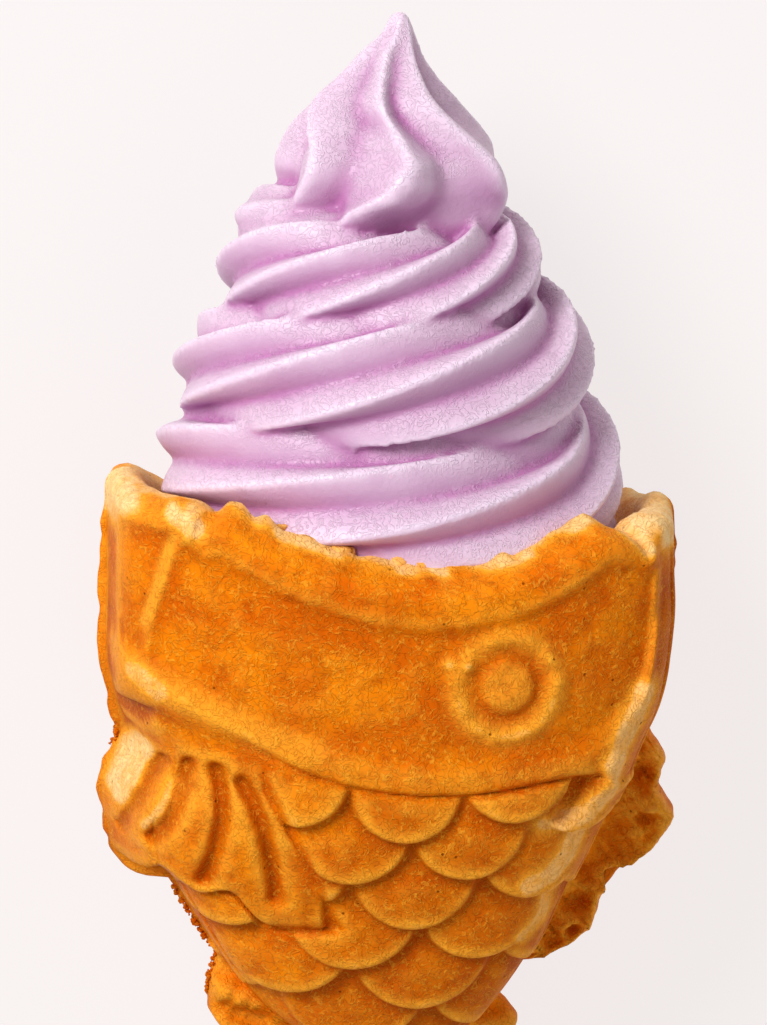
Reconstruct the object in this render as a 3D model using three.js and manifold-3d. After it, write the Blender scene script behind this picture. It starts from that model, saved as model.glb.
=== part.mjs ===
// Taiyaki cone: a fish-shaped pancake baked open at the mouth, filled with a swirl of soft serve.
// It lies on its back: +X across the fish, +Y from the tail to the tip of the swirl, +Z up, which is
// the fish's shown side. Millimetres. Y = 0 of the fish's own frame is near the corners of its mouth,
// and Z = 0 is the seam where the two halves of the mould met.
import * as THREE from 'three';
import * as BufferGeometryUtils from 'three/addons/utils/BufferGeometryUtils.js';
import Module from 'manifold-3d';

const wasm = await Module();
wasm.setup();

// ---------------------------------------------------------------- driving dimensions

const LIP_LOW = -4.5; // height of the lip at its lowest point
const LIP_ROUND = 3.0; // height of the rounded top of the lip
const WALL = 6.2; // wall of the pocket at the mouth
const MOUTH_HALF_WIDTH = 44.0;
const MOUTH_HALF_DEPTH = 33.0;
const POCKET_FLOOR = -31.0;
const TAIL_NOTCH = -109.5; // the tail's trailing edge at its middle
const TAIL_ROOT = -88.0;
const BACK_REST = 33.2; // the back is pressed flat this far behind the seam, where it rests
const GAP = 0.3; // between the soft serve and the crust

const BODY = [ // [height, left, right, half thickness]
  [-120, -7.0, 7.0, 3.6],
  [-100, -8.5, 8.5, 5.5],
  [-92, -10.5, 10.0, 8.0],
  [-86, -14.5, 12.5, 11.5],
  [-78, -22.8, 18.6, 16.2],
  [-68, -29.6, 25.5, 21.6],
  [-58, -34.9, 29.6, 25.6],
  [-50, -38.2, 32.8, 28.6],
  [-42, -40.4, 36.6, 31.0],
  [-32, -42.7, 41.0, 32.4],
  [-22, -44.0, 43.4, 33.2],
  [-10, -44.2, 44.2, 33.2],
  [8, -44.0, 44.0, 32.6],
];

const BACK_FIN = [ // [height, reach], on the right
  [-77, 19], [-74.6, 24], [-73.2, 28.5], [-70.5, 32.4], [-65, 35], [-62.9, 36.6], [-57.3, 42.1],
  [-54.5, 44.6], [-51.5, 45.1], [-47.2, 43.9], [-45, 44], [-42, 43.2], [-37.6, 39.9], [-35, 38],
];
const REAR_FIN = [[-95, 8.5], [-92, 14.5], [-88.5, 19.5], [-85, 20.2], [-82, 18.4], [-77, 13]];
const BELLY_FIN = [[-94, -9], [-91, -16.5], [-88, -22.5], [-84.5, -26.8], [-81, -29], [-77, -28.8], [-71, -26]];
const BREAST_FIN = [
  [-57, -33], [-56.2, -37.5], [-53.2, -43.3], [-50, -44.6], [-46.5, -45.5], [-42, -45.4],
  [-38.5, -44.4], [-33.5, -41.8], [-31, -41],
];
const BREAST_FIN_FOOT = [ // [across, height] of the breast fin's lower edge
  [-46, -56.5], [-36, -56.4], [-31, -55.8], [-27.5, -54.6], [-24.6, -57.1], [-21.5, -59.6], [-12, -59.8],
];
const BREAST_FIN_GROOVES = [ // [across, height] along each groove
  [[-37.6, -32.6], [-39.4, -40.6], [-43.6, -47.2]],
  [[-33.0, -31.4], [-34.0, -38.3], [-39.2, -50.8]],
  [[-29.2, -33.4], [-28.4, -40.9], [-31.3, -53.4]],
  [[-25.2, -35.3], [-22.1, -43.1], [-20.5, -55.2]],
];
const TAIL_HALF_WIDTH = [[-118, 23.5], [-112, 22.8], [-106, 19.5], [-100, 15.2], [-95, 11.4], [-90, 8.6], [-86, 7]];

const EYE = { x: 14.6, y: -21.2, ring: 6.9, pupil: 3.9 };
const SCALE = { firstRow: -45.2, rowStep: 7.75, gap: 16.6, growth: 1.1, rise: 4.2 };

const SWIRL = [ // [turn, radius, height, half height of the strand]; turn 0 is the shown side
  [-1.5, 31.0, -16.0, 8.0], [-1.25, 33.0, -10.0, 9.0], [-1.0, 35.0, -6.0, 10.0], [-0.75, 35.0, -2.5, 10.0],
  [-0.5, 34.0, 0.5, 10.0], [-0.25, 35.9, 4.0, 10.0], [0, 36.6, 7.6, 10.0], [0.25, 36.2, 11.5, 10.0],
  [0.5, 34.8, 13.6, 10.0], [0.75, 33.2, 18.0, 10.0], [1.0, 32.2, 24.2, 10.0], [1.25, 30.8, 27.5, 9.8],
  [1.5, 28.8, 30.0, 9.8], [1.75, 26.6, 33.8, 10.2], [2.0, 25.2, 37.4, 8.8], [2.25, 23.2, 39.4, 8.0],
  [2.5, 19.0, 41.5, 7.0],
];
const STRAND = { lobes: 6, groove: 2.1, outward: 6.5, inward: 11.0, lean: 0.15, tilt: 0.075 };
const PEAK = [ // [height, radius over the ridges]
  [38, 9], [40, 12], [42, 14.5], [45, 16.4], [48.1, 17.5], [51.1, 17.8], [54.1, 17.0], [57.1, 15.2],
  [60, 12.5], [63, 9.7], [65.9, 6.7], [68.9, 4.3], [71.9, 2.6], [73.9, 1.6], [74.6, 0.9],
];
const PEAK_TOP = 74.9;
const PEAK_TURN = [[38, -70], [42, -55], [45, -36], [49.2, -9], [52.8, 4], [56.5, 7], [59.6, 4], [62, -9], [75, -12]];
const CORE = [ // [height, half width, half depth] inside the turns and down into the pocket
  [-30.7, 3, 2], [-30.2, 14, 10], [-27, 25, 17.5], [-20, 33, 23], [-12, 35.8, 25.2], [-6, 36, 25.6],
  [0, 31, 24], [10, 28, 23], [20, 24, 21], [30, 20, 19], [40, 14, 14], [46, 6, 6],
];

// ---------------------------------------------------------------- curves and blends

/** A smooth curve through [x, y] stations that never overshoots them (monotone cubic). */
function curve(stations, column = 1) {
  const xs = stations.map((s) => s[0]);
  const ys = stations.map((s) => s[column]);
  const last = xs.length - 1;
  const slopes = xs.slice(1).map((x, i) => (ys[i + 1] - ys[i]) / (x - xs[i]));
  const tangents = xs.map((x, i) => {
    if (i === 0) return slopes[0];
    if (i === last) return slopes[last - 1];
    if (slopes[i - 1] * slopes[i] <= 0) return 0;
    const before = x - xs[i - 1];
    const after = xs[i + 1] - x;
    const [w1, w2] = [2 * after + before, after + 2 * before];
    return (w1 + w2) / (w1 / slopes[i - 1] + w2 / slopes[i]);
  });
  return (value) => {
    const v = THREE.MathUtils.clamp(value, xs[0], xs[last]);
    let i = 0;
    while (i < last - 1 && v > xs[i + 1]) i += 1;
    const h = xs[i + 1] - xs[i];
    const t = (v - xs[i]) / h;
    const a = (1 + 2 * t) * (1 - t) ** 2 * ys[i] + t * t * (3 - 2 * t) * ys[i + 1];
    return a + t * (1 - t) ** 2 * h * tangents[i] + t * t * (t - 1) * h * tangents[i + 1];
  };
}

const clamp01 = (v) => THREE.MathUtils.clamp(v, 0, 1);
const softMax = (a, b, k) => (a + b + Math.hypot(a - b, k)) / 2;
const softMin = (a, b, k) => (a + b - Math.hypot(a - b, k)) / 2;
const bump = (v, width) => Math.exp(-((v / width) ** 2));

/** 0 before a, 1 after b, smooth between; a may be the larger. */
function ramp(a, b, v) {
  const t = clamp01((v - a) / (b - a));
  return t * t * (3 - 2 * t);
}

/** Distance from (x, y) to a line of points. */
function lineDistance(x, y, points) {
  let nearest = Infinity;
  for (let i = 1; i < points.length; i += 1) {
    const [ax, ay] = points[i - 1];
    const [dx, dy] = [points[i][0] - ax, points[i][1] - ay];
    const t = clamp01(((x - ax) * dx + (y - ay) * dy) / (dx * dx + dy * dy));
    nearest = Math.min(nearest, Math.hypot(x - ax - dx * t, y - ay - dy * t));
  }
  return nearest;
}

// ---------------------------------------------------------------- the fish's outline

const bodyLeft = curve(BODY, 1);
const bodyRight = curve(BODY, 2);
const bodyDepth = curve(BODY, 3);
const backFin = curve(BACK_FIN);
const rearFin = curve(REAR_FIN);
const bellyFin = curve(BELLY_FIN);
const breastFin = curve(BREAST_FIN);
const breastFinFoot = curve(BREAST_FIN_FOOT);
const tailHalf = curve(TAIL_HALF_WIDTH);

/** Top of the front lip: a shallow dip between two notches at the corners of the mouth. */
function frontLip(x) {
  const d = x - 6;
  const dip = LIP_LOW + (d < 0 ? 0.0083 : 0.0108) * d * d;
  const corner = x < 0 ? 6 : 1 - 2.2 * ramp(40, 44, x);
  return softMin(dip, corner, 1) - 3.2 * bump(x + 31.7, 1.9) - 5.6 * bump(x - 38.2, 2.2);
}

/** Top of the back lip: a plain dip from corner to corner. */
function backLip(x) {
  const corner = x < 0 ? 5.6 : -1.2;
  return -8 + (corner + 8) * Math.abs(x / 44.4) ** 3.5;
}

const tailEdge = (x) => TAIL_NOTCH - 7 * (Math.abs(x) / 20) ** 1.3;

/** Left and right reach of the seam, fins and tail included. */
function outline(y) {
  let left = bodyLeft(y);
  let right = bodyRight(y);
  if (y < -31 && y > -57.5) left = Math.min(left, breastFin(y));
  if (y < -71 && y > -94) left = Math.min(left, bellyFin(y));
  if (y < -35 && y > -77) right = Math.max(right, backFin(y));
  if (y < -77 && y > -95) right = Math.max(right, rearFin(y));
  if (y < -86) {
    left = Math.min(left, -tailHalf(y) - 0.5);
    right = Math.max(right, tailHalf(y));
  }
  return [left, right];
}

// ---------------------------------------------------------------- the fish's relief

/** Half a moulded section: a plump front over a nearly upright side wall. */
function section(offset, halfWidth, depth, draft, edge) {
  const a = Math.abs(offset);
  const inner = clamp01(a / (halfWidth - draft));
  const dome = edge + (depth - edge) * (1 - inner ** 2.6) ** 0.62;
  const wall = (1.25 * edge * Math.max(halfWidth - a, 0)) / draft;
  return Math.max(softMin(dome, wall, 2.2), 0);
}

function bodyHeight(x, y) {
  const [left, right, depth] = [bodyLeft(y), bodyRight(y), bodyDepth(y)];
  const halfWidth = (right - left) / 2;
  const draft = Math.min(1.6 + 1.5 * ramp(-28, -50, y), 0.3 * halfWidth);
  return section(x - (left + right) / 2, halfWidth, depth, draft, 0.56 * depth);
}

/** The gill cover's lower edge. */
function gillEdge(x) {
  const d = x - 9;
  return -38.2 + (d < 0 ? 0.0072 * d * d : 0.0012 * d * d + 1.05e-5 * d ** 4);
}

/** Rows of round scales, each row lying over the row below it. */
function scales(x, y) {
  let height = 0;
  for (let row = -1; row < 7; row += 1) {
    const gap = SCALE.gap + SCALE.growth * row;
    const radius = 0.535 * gap;
    const shift = -1 + 0.9 * row + (row % 2 ? gap / 2 : 0);
    for (let k = -3; k < 4; k += 1) {
      const cx = shift + gap * k;
      const foot = SCALE.firstRow - SCALE.rowStep * row + 0.0095 * cx * cx;
      const d = Math.hypot(x - cx, y - foot - radius);
      const slope = clamp01(1 - (y - foot) / (2.1 * SCALE.rowStep));
      height = Math.max(height, ramp(radius + 0.4, radius - 1.2, d) * SCALE.rise * slope);
    }
  }
  return height;
}

/** Lip band, gill cover, eye and scales over the plain body. */
function relief(x, y, lip) {
  const band = 8.8 * (1 - (x / 56) ** 2);
  const fromBand = y - (lip - band);
  const lipBand = 1.5 * ramp(-0.8, 2.2, fromBand) * (0.75 + 0.25 * clamp01(fromBand / band));
  const fromGill = y - gillEdge(x);
  const gill = ramp(-0.5, 1.1, fromGill) * (0.5 + 1.9 * (1 - ramp(3.6, 9.5, fromGill)));
  const r = Math.hypot(x - EYE.x, y - EYE.y);
  const eye = bump(r - EYE.ring, 1.3) + Math.sqrt(clamp01(1 - (r / EYE.pupil) ** 2));
  const besideFin = ramp(-23, -19, x + 0.45 * (y + 36)) + ramp(0, -1.5, y - breastFinFoot(x));
  return lipBand + gill + eye + ramp(0.4, -0.5, fromGill) * clamp01(besideFin) * scales(x, y) * ramp(-94, -86, y);
}

/** The breast fin: a pad over the body's side with four grooves. */
function breastPad(x, y) {
  const left = Math.min(breastFin(y), bodyLeft(y));
  const [right, depth] = [bodyRight(y), bodyDepth(y)];
  const plain = section(x - (left + right) / 2, (right - left) / 2, depth, 4, 0.66 * depth);
  const grooves = BREAST_FIN_GROOVES.reduce((sum, line) => sum + bump(lineDistance(x, y, line), 1.2), 0);
  const edge = THREE.MathUtils.mapLinear(y, -60, -36, -12, -22.5);
  return plain + 1.9 - 1.7 * clamp01(grooves) - 1.1 * Math.max(y + 33, 0)
    - 2.6 * Math.max(breastFinFoot(x) - y, 0) - 2 * Math.max(x - edge, 0);
}

/** Thin fins and tail along the seam, with rays. */
function finHeight(x, y, left, right) {
  const inward = Math.min(x - left, right - x);
  const rounded = Math.sqrt(1 - (1 - clamp01(inward / 2.4)) ** 2);
  const fan = (cx, cy, first, last, rays) => {
    const angle = THREE.MathUtils.radToDeg(Math.atan2(y - cy, x - cx));
    return Math.cos((2 * Math.PI * rays * (angle - first)) / (last - first));
  };
  let thick = 1.3;
  if (x > 0 && y > -78 && y < -34) thick = 4.2 + 1.5 * fan(8, -40, -52, 8, 5);
  if (x < 0 && y > -92 && y < -70) thick = 4.6 + 1.3 * Math.cos(((y + 78 + 0.4 * (x + 25)) / 6.5) * 2 * Math.PI);
  if (x > 0 && y > -92 && y < -78) thick = 3.6 + Math.cos(((y + 85) / 6) * 2 * Math.PI);
  const tail = (4.6 + 0.9 * fan(0, -70, -125, -55, 9)) * Math.sqrt(clamp01((y - tailEdge(x)) / 3 + 0.03));
  return THREE.MathUtils.lerp(thick, tail, ramp(TAIL_ROOT, -95, y)) * rounded;
}

/** Height of the moulded surface over the seam. */
function halfThickness(x, y, left, right, lip) {
  const body = bodyHeight(x, y);
  let height = body + relief(x, y, lip) * clamp01(body / 9);
  const recess = ((x + 44.5) / 6.2) ** 2 + ((y + 29.6) / 5.2) ** 2;
  height *= 1 - 0.6 * Math.exp(-(recess ** 1.4));
  height = softMax(height, breastPad(x, y), 0.7) - 0.2;
  height = softMax(height, finHeight(x, y, left, right), 1.4) - 0.5;
  return Math.max(height, 0.45);
}

// ---------------------------------------------------------------- the fish as a grid

const OUTER_ROWS = 46;
const LIP_ROWS = 3;
const POCKET_ROWS = 6;
const HALVES = { front: { left: 3, body: 44, right: 4 }, back: { left: 2, body: 26, right: 2 } };

/** Row v (0 at the lip, 1 at the tail) is a line over the fish; it bends with the lip and the tail. */
function rowLine(v, lip) {
  const top = LIP_LOW - LIP_ROUND;
  const mid = THREE.MathUtils.lerp(top, TAIL_NOTCH, v);
  const withLip = ramp(-26, 0, mid - top);
  const withTail = ramp(TAIL_ROOT, TAIL_NOTCH, mid);
  return (x) => mid + withLip * (lip(x) - LIP_LOW) + withTail * (tailEdge(x) - TAIL_NOTCH);
}

/** Where a row meets an edge that is given as a function of height. */
function meet(line, edge, start) {
  let x = start;
  for (let pass = 0; pass < 24; pass += 1) x = (x + edge(line(x))) / 2;
  return x;
}

/** Places across the fish: fin, body, fin. The body's are bunched towards its sides. */
function columns({ left, body, right }, seamLeft, wallLeft, wallRight, seamRight) {
  const places = [];
  for (let i = 0; i < left; i += 1) places.push(THREE.MathUtils.lerp(seamLeft, wallLeft, i / left));
  for (let i = 0; i <= body; i += 1) {
    const turn = (1 - Math.cos((Math.PI * i) / body)) / 2;
    places.push(THREE.MathUtils.lerp(wallLeft, wallRight, turn));
  }
  for (let i = 1; i <= right; i += 1) places.push(THREE.MathUtils.lerp(wallRight, seamRight, i / right));
  return places;
}

/** One row of the outer skin on one side, from seam to seam. */
function outerRow(v, side, counts) {
  const lip = side > 0 ? frontLip : backLip;
  const line = rowLine(v, lip);
  const seam = rowLine(v, frontLip);
  const wallLeft = meet(seam, bodyLeft, -MOUTH_HALF_WIDTH);
  const wallRight = meet(seam, bodyRight, MOUTH_HALF_WIDTH);
  const seamLeft = Math.min(meet(seam, (y) => outline(y)[0], -MOUTH_HALF_WIDTH), wallLeft - 0.5);
  const seamRight = Math.max(meet(seam, (y) => outline(y)[1], MOUTH_HALF_WIDTH), wallRight + 0.5);
  const places = columns(counts, seamLeft, wallLeft, wallRight, seamRight);
  return places.map((x, i) => {
    const onSeam = i === 0 || i === places.length - 1;
    const y = onSeam ? seam(x) : line(x);
    const height = onSeam ? 0 : halfThickness(x, y, seamLeft, seamRight, lip(x));
    return [x, y, side > 0 ? height : -Math.min(height, BACK_REST)];
  });
}

/** The pocket's section at the mouth, a rounded oval, drawn in by inset. */
function pocketRing(side, counts, inset) {
  const first = 0.05;
  const angles = columns(counts, 0, first, Math.PI - first, Math.PI);
  return angles.map((angle) => {
    const across = Math.cos(angle);
    const deep = (1 - Math.abs(across) ** 2.8) ** (1 / 2.2);
    return [-(MOUTH_HALF_WIDTH - WALL - inset) * across, side * (MOUTH_HALF_DEPTH - WALL - inset) * deep];
  });
}

/** Rows over the rounded lip and down the pocket to its floor, for a given top row of the skin. */
function innerRows(topRow, ring, lift) {
  const rows = [];
  for (let k = 1; k <= LIP_ROWS; k += 1) {
    const angle = (Math.PI * k) / LIP_ROWS;
    const inward = (1 - Math.cos(angle)) / 2;
    rows.push(topRow.map(([x, y, z], i) => [
      THREE.MathUtils.lerp(x, ring[i][0], inward),
      y + lift + LIP_ROUND * Math.sin(angle),
      THREE.MathUtils.lerp(z, ring[i][1], inward),
    ]));
  }
  const rim = rows[rows.length - 1];
  for (let k = 1; k < POCKET_ROWS; k += 1) {
    const turn = (Math.max(k / POCKET_ROWS - 0.45, 0) / 0.55) * (Math.PI / 2);
    const down = k / POCKET_ROWS < 0.45 ? (k / POCKET_ROWS / 0.45) * 0.55 : 0.55 + 0.45 * Math.sin(turn);
    const size = Math.cos(turn) * (1 - 0.1 * down);
    rows.push(rim.map(([, y], i) => [
      ring[i][0] * size,
      THREE.MathUtils.lerp(y, POCKET_FLOOR + lift, down),
      ring[i][1] * size,
    ]));
  }
  return rows;
}

// ---------------------------------------------------------------- meshes from rings

/** Joins a front row and a back row, which share their ends, into one ring. */
const ringOf = (front, back) => [...front, ...back.slice(1, -1).reverse()];

/** A closed mesh from rings of equal length: quads between rings, and a fan or a strip at each end. */
function skin(rings, ends) {
  const size = rings[0].length;
  const vertices = rings.flat(2);
  const faces = [];
  for (let i = 0; i + 1 < rings.length; i += 1) {
    for (let j = 0; j < size; j += 1) {
      const [a, b] = [i * size + j, i * size + ((j + 1) % size)];
      faces.push([a, a + size, b + size], [a, b + size, b]);
    }
  }
  ends(faces, vertices, size);
  const geometry = new THREE.BufferGeometry();
  geometry.setAttribute('position', new THREE.Float32BufferAttribute(vertices, 3));
  geometry.setIndex(faces.flat());
  return geometry;
}

/** Closes ring number `at`, the first or the last, with a fan to a point. */
function fan(faces, vertices, size, at, point) {
  const centre = vertices.length / 3;
  vertices.push(...point);
  for (let j = 0; j < size; j += 1) {
    const [a, b] = [at * size + j, at * size + ((j + 1) % size)];
    faces.push(at === 0 ? [centre, a, b] : [centre, b, a]);
  }
}

/** Closes the last ring by zipping its front half to its back half. */
function zip(faces, size, at, frontCount) {
  const start = at * size;
  const front = Array.from({ length: frontCount }, (_, i) => start + i);
  const back = [start, ...Array.from({ length: size - frontCount }, (_, i) => start + size - 1 - i), start + frontCount - 1];
  let [i, j] = [0, 0];
  while (i < front.length - 1 || j < back.length - 1) {
    const stepFront = j >= back.length - 1
      || (i < front.length - 1 && (i + 1) / (front.length - 1) <= (j + 1) / (back.length - 1));
    const face = stepFront ? [front[i], back[j], front[i + 1]] : [front[i], back[j], back[j + 1]];
    if (stepFront) i += 1;
    else j += 1;
    if (new Set(face).size === 3) faces.push(face);
  }
}

// ---------------------------------------------------------------- the crust

function makeCrust() {
  const outer = { front: [], back: [] };
  for (let row = 0; row < OUTER_ROWS; row += 1) {
    const v = row / (OUTER_ROWS - 1);
    outer.front.push(outerRow(v, 1, HALVES.front));
    outer.back.push(outerRow(v, -1, HALVES.back));
  }
  const inner = {
    front: innerRows(outer.front[0], pocketRing(1, HALVES.front, 0), 0),
    back: innerRows(outer.back[0], pocketRing(-1, HALVES.back, 0), 0),
  };
  const rows = (side) => [...inner[side].reverse(), ...outer[side]];
  const [front, back] = [rows('front'), rows('back')];
  const rings = front.map((row, i) => ringOf(row, back[i]));
  const frontCount = front[0].length;
  return skin(rings, (faces, vertices, size) => {
    fan(faces, vertices, size, 0, [0, POCKET_FLOOR, 0]);
    zip(faces, size, rings.length - 1, frontCount);
  });
}

// ---------------------------------------------------------------- the soft serve

const swirlRadius = curve(SWIRL, 1);
const swirlHeight = curve(SWIRL, 2);
const strandHalf = curve(SWIRL, 3);

/** A point of the strand: turn along it, ridge number round it (whole numbers are crests). */
function strandPoint(turn, ridge) {
  const around = 2 * Math.PI * turn;
  const crest = 112 + 402.6 * turn + 31.4 * turn * turn;
  const psi = THREE.MathUtils.degToRad(crest + (360 / STRAND.lobes) * ridge);
  const [radius, half] = [swirlRadius(turn), strandHalf(turn)];
  const cut = STRAND.groove * Math.abs(Math.sin(Math.PI * ridge)) ** 0.9;
  const reach = (Math.cos(psi) > 0 ? STRAND.outward : STRAND.inward) - cut;
  const out = radius - STRAND.outward + reach * Math.cos(psi) - STRAND.lean * half * Math.sin(psi);
  const up = swirlHeight(turn) - STRAND.tilt * radius * Math.sin(around) + (half - cut) * Math.sin(psi);
  const squash = 0.88 + 0.12 * ramp(0, 2, turn);
  return [0.3 + out * Math.sin(around), up, out * Math.cos(around) * squash];
}

/** A closed length of strand, with its section's points following the crests. */
function strandPiece(from, to, steps) {
  const perLobe = 3;
  const rings = [];
  for (let i = 0; i <= steps; i += 1) {
    const turn = THREE.MathUtils.lerp(from, to, i / steps);
    const ring = [];
    for (let k = 0; k < STRAND.lobes * perLobe; k += 1) ring.push(strandPoint(turn, k / perLobe));
    rings.push(ring);
  }
  const middle = (ring) => [0, 1, 2].map((axis) => ring.reduce((sum, p) => sum + p[axis], 0) / ring.length);
  return skin(rings, (faces, vertices, size) => {
    fan(faces, vertices, size, 0, middle(rings[0]));
    fan(faces, vertices, size, steps, middle(rings[steps]));
  });
}

/** Six ridges that wind up to the tip; each falls off steeply on one side. */
function makePeak() {
  const radius = curve(PEAK);
  const turnOf = curve(PEAK_TURN);
  const lobe = curve([[0, 1], [0.16, 0.84], [0.27, 0.52], [0.36, 0.12], [0.44, 0], [0.7, 0.34], [0.85, 0.66], [1, 1]]);
  const [perLobe, levels] = [4, 15];
  const rings = [];
  for (let i = 0; i < levels; i += 1) {
    const y = THREE.MathUtils.lerp(PEAK[0][0], PEAK[PEAK.length - 1][0], Math.sin((i / (levels - 1)) * (Math.PI / 2)));
    const r = radius(y);
    const depth = Math.min(3.4, 0.3 * r) * (0.55 + 0.45 * ramp(74, 58, y));
    const lean = 0.3 + 1.1 * clamp01((y - 45) / 30) ** 1.5;
    const ring = [];
    for (let k = 0; k < STRAND.lobes * perLobe; k += 1) {
      const angle = THREE.MathUtils.degToRad(turnOf(y) + (360 * k) / (STRAND.lobes * perLobe));
      const reach = r - depth * (1 - lobe((k % perLobe) / perLobe));
      ring.push([lean + reach * Math.sin(angle), y, reach * Math.cos(angle)]);
    }
    rings.push(ring.reverse());
  }
  return skin(rings, (faces, vertices, size) => {
    fan(faces, vertices, size, 0, [0.3, PEAK[0][0], 0]);
    fan(faces, vertices, size, levels - 1, [1.4, PEAK_TOP, 0]);
  });
}

/** The bulk inside the turns and the stem that fills the pocket. */
function makeCore() {
  const [count, last] = [32, CORE.length - 1];
  const rings = CORE.map(([y, halfWidth, halfDepth]) => Array.from({ length: count }, (_, k) => {
    const angle = (-2 * Math.PI * k) / count;
    return [0.3 + halfWidth * Math.sin(angle), y, halfDepth * Math.cos(angle)];
  }));
  return skin(rings, (faces, vertices, size) => {
    fan(faces, vertices, size, 0, [0.3, CORE[0][0], 0]);
    fan(faces, vertices, size, last, [0.3, CORE[last][0], 0]);
  });
}

/** The room that the crust leaves: the pocket and all above the lip, a gap clear of the crust. */
function makeRoom() {
  const half = (side, counts) => {
    const top = outerRow(0, side, counts).map(([x, y, z]) => [x * 1.6, y, z * 1.6]);
    const skinTop = outerRow(0, side, counts);
    const rows = innerRows(skinTop, pocketRing(side, counts, GAP), GAP).reverse();
    const ceiling = (y) => top.map(([x, , z]) => [x, y, z]);
    const lipCrest = rows[rows.length - 1];
    return [...rows, top.map(([x, , z], i) => [x, lipCrest[i][1], z]), ceiling(PEAK_TOP + 10)];
  };
  const [front, back] = [half(1, HALVES.front), half(-1, HALVES.back)];
  const rings = front.map((row, i) => ringOf(row, back[i]).reverse());
  return skin(rings, (faces, vertices, size) => {
    fan(faces, vertices, size, 0, [0, POCKET_FLOOR + GAP, 0]);
    fan(faces, vertices, size, rings.length - 1, [0, PEAK_TOP + 10, 0]);
  });
}

// ---------------------------------------------------------------- joining

function toSolid(geometry) {
  const merged = BufferGeometryUtils.mergeVertices(geometry, 1e-4);
  return new wasm.Manifold(new wasm.Mesh({
    numProp: 3,
    vertProperties: new Float32Array(merged.attributes.position.array),
    triVerts: new Uint32Array(merged.index.array),
  }));
}

/** The outer skin alone, so that pockets sealed between the joined pieces are filled. */
function toGeometry(solid) {
  const skins = solid.decompose().sort((a, b) => b.volume() - a.volume());
  const { vertProperties, triVerts } = skins[0].getMesh();
  const geometry = new THREE.BufferGeometry();
  geometry.setAttribute('position', new THREE.BufferAttribute(vertProperties, 3));
  geometry.setIndex(new THREE.BufferAttribute(triVerts, 1));
  return geometry;
}

/** Strand, peak and core in one, cut to the room that the crust leaves. */
function makeSoftServe() {
  const [first, last] = [SWIRL[0][0], SWIRL[SWIRL.length - 1][0]];
  const pieces = 4;
  const stepsPerTurn = 26;
  let solid = toSolid(makeCore()).add(toSolid(makePeak()));
  for (let i = 0; i < pieces; i += 1) {
    const [from, to] = [i, i + 1].map((k) => THREE.MathUtils.lerp(first, last, k / pieces));
    solid = solid.add(toSolid(strandPiece(from, to, Math.round((to - from) * stepsPerTurn))));
  }
  return toGeometry(solid.intersect(toSolid(makeRoom())));
}

// ---------------------------------------------------------------- the object

function makeMesh(name, geometry, color, roughness) {
  const mesh = new THREE.Mesh(geometry, new THREE.MeshStandardMaterial({ color, roughness, metalness: 0 }));
  mesh.name = name;
  return mesh;
}

const taiyaki = new THREE.Group();
taiyaki.add(makeMesh('fish_cone', makeCrust(), 0xc87a22, 0.55));
taiyaki.add(makeMesh('soft_serve', makeSoftServe(), 0xcfa9cf, 0.4));

const box = new THREE.Box3().setFromObject(taiyaki);
const centre = box.getCenter(new THREE.Vector3());
taiyaki.position.set(-centre.x, -centre.y, -box.min.z);
taiyaki.updateMatrixWorld(true);

export default taiyaki;
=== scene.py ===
# %% [markdown]
# # Taiyaki with soft serve, lying on its back
# A taiyaki is a fish-shaped pastry baked in a hinged iron mould. This one is baked with its mouth wide open
# and filled with lilac soft serve, which a star nozzle winds up to a tall twisted peak. The CAD model gives
# the two separate things that are seen, the crust and the soft serve, with their real sizes. Here both get
# the finer shape and the finishes that make them look like food.
#
# We start by loading the CAD model. Everything that follows is measured from it.

import bpy
import numpy as np
from mathutils import Matrix, Vector


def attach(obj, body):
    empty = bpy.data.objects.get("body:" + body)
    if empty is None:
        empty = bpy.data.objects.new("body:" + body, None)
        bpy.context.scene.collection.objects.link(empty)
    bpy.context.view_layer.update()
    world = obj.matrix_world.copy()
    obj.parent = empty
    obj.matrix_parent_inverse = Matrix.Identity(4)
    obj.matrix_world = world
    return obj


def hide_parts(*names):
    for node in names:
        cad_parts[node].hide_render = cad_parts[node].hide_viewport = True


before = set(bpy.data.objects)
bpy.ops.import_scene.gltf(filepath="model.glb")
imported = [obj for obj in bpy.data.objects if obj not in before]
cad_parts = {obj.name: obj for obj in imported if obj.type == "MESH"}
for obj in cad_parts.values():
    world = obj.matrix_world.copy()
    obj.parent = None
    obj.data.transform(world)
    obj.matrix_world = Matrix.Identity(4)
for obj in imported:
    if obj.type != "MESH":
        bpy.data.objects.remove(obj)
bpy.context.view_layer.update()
MM = 0.001

# %% [markdown]
# ## Where the fish's own axes lie
# All shapes below are written in the fish's own millimetres: x runs across the fish, y from its tail to the
# tip of the soft serve, z out of the side that is shown, and z = 0 is the plane where the two halves of the
# mould meet. Two points tie them to the CAD model: the tip of the peak, and the flat spot that the fish lies
# on. The pieces could also be moved into place as objects, but then patterns that read object coordinates
# would move too, so the place goes into the mesh.

# %% Find the shift from the fish's axes to the CAD frame
PEAK_TIP = np.array([1.4, 74.9])
BACK_REST = 33.2


def read_all(items, field, width=3, kind=np.float32):
    """One field of every item in a mesh's list, as an array with that many columns."""
    flat = np.empty(len(items) * width, kind)
    items.foreach_get(field, flat)
    return flat.reshape(-1, width)


def points_of(mesh):
    """Corner points of a mesh, in millimetres."""
    return read_all(mesh.vertices, "co").astype(float) / MM


cad_serve, cad_crust = (points_of(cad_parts[name].data) for name in ("soft_serve", "fish_cone"))
tip = cad_serve[np.argmax(cad_serve[:, 1])]
SHIFT = np.array([tip[0] - PEAK_TIP[0], tip[1] - PEAK_TIP[1], cad_crust[:, 2].min() + BACK_REST])
print("shift in mm:", SHIFT.round(2))

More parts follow.
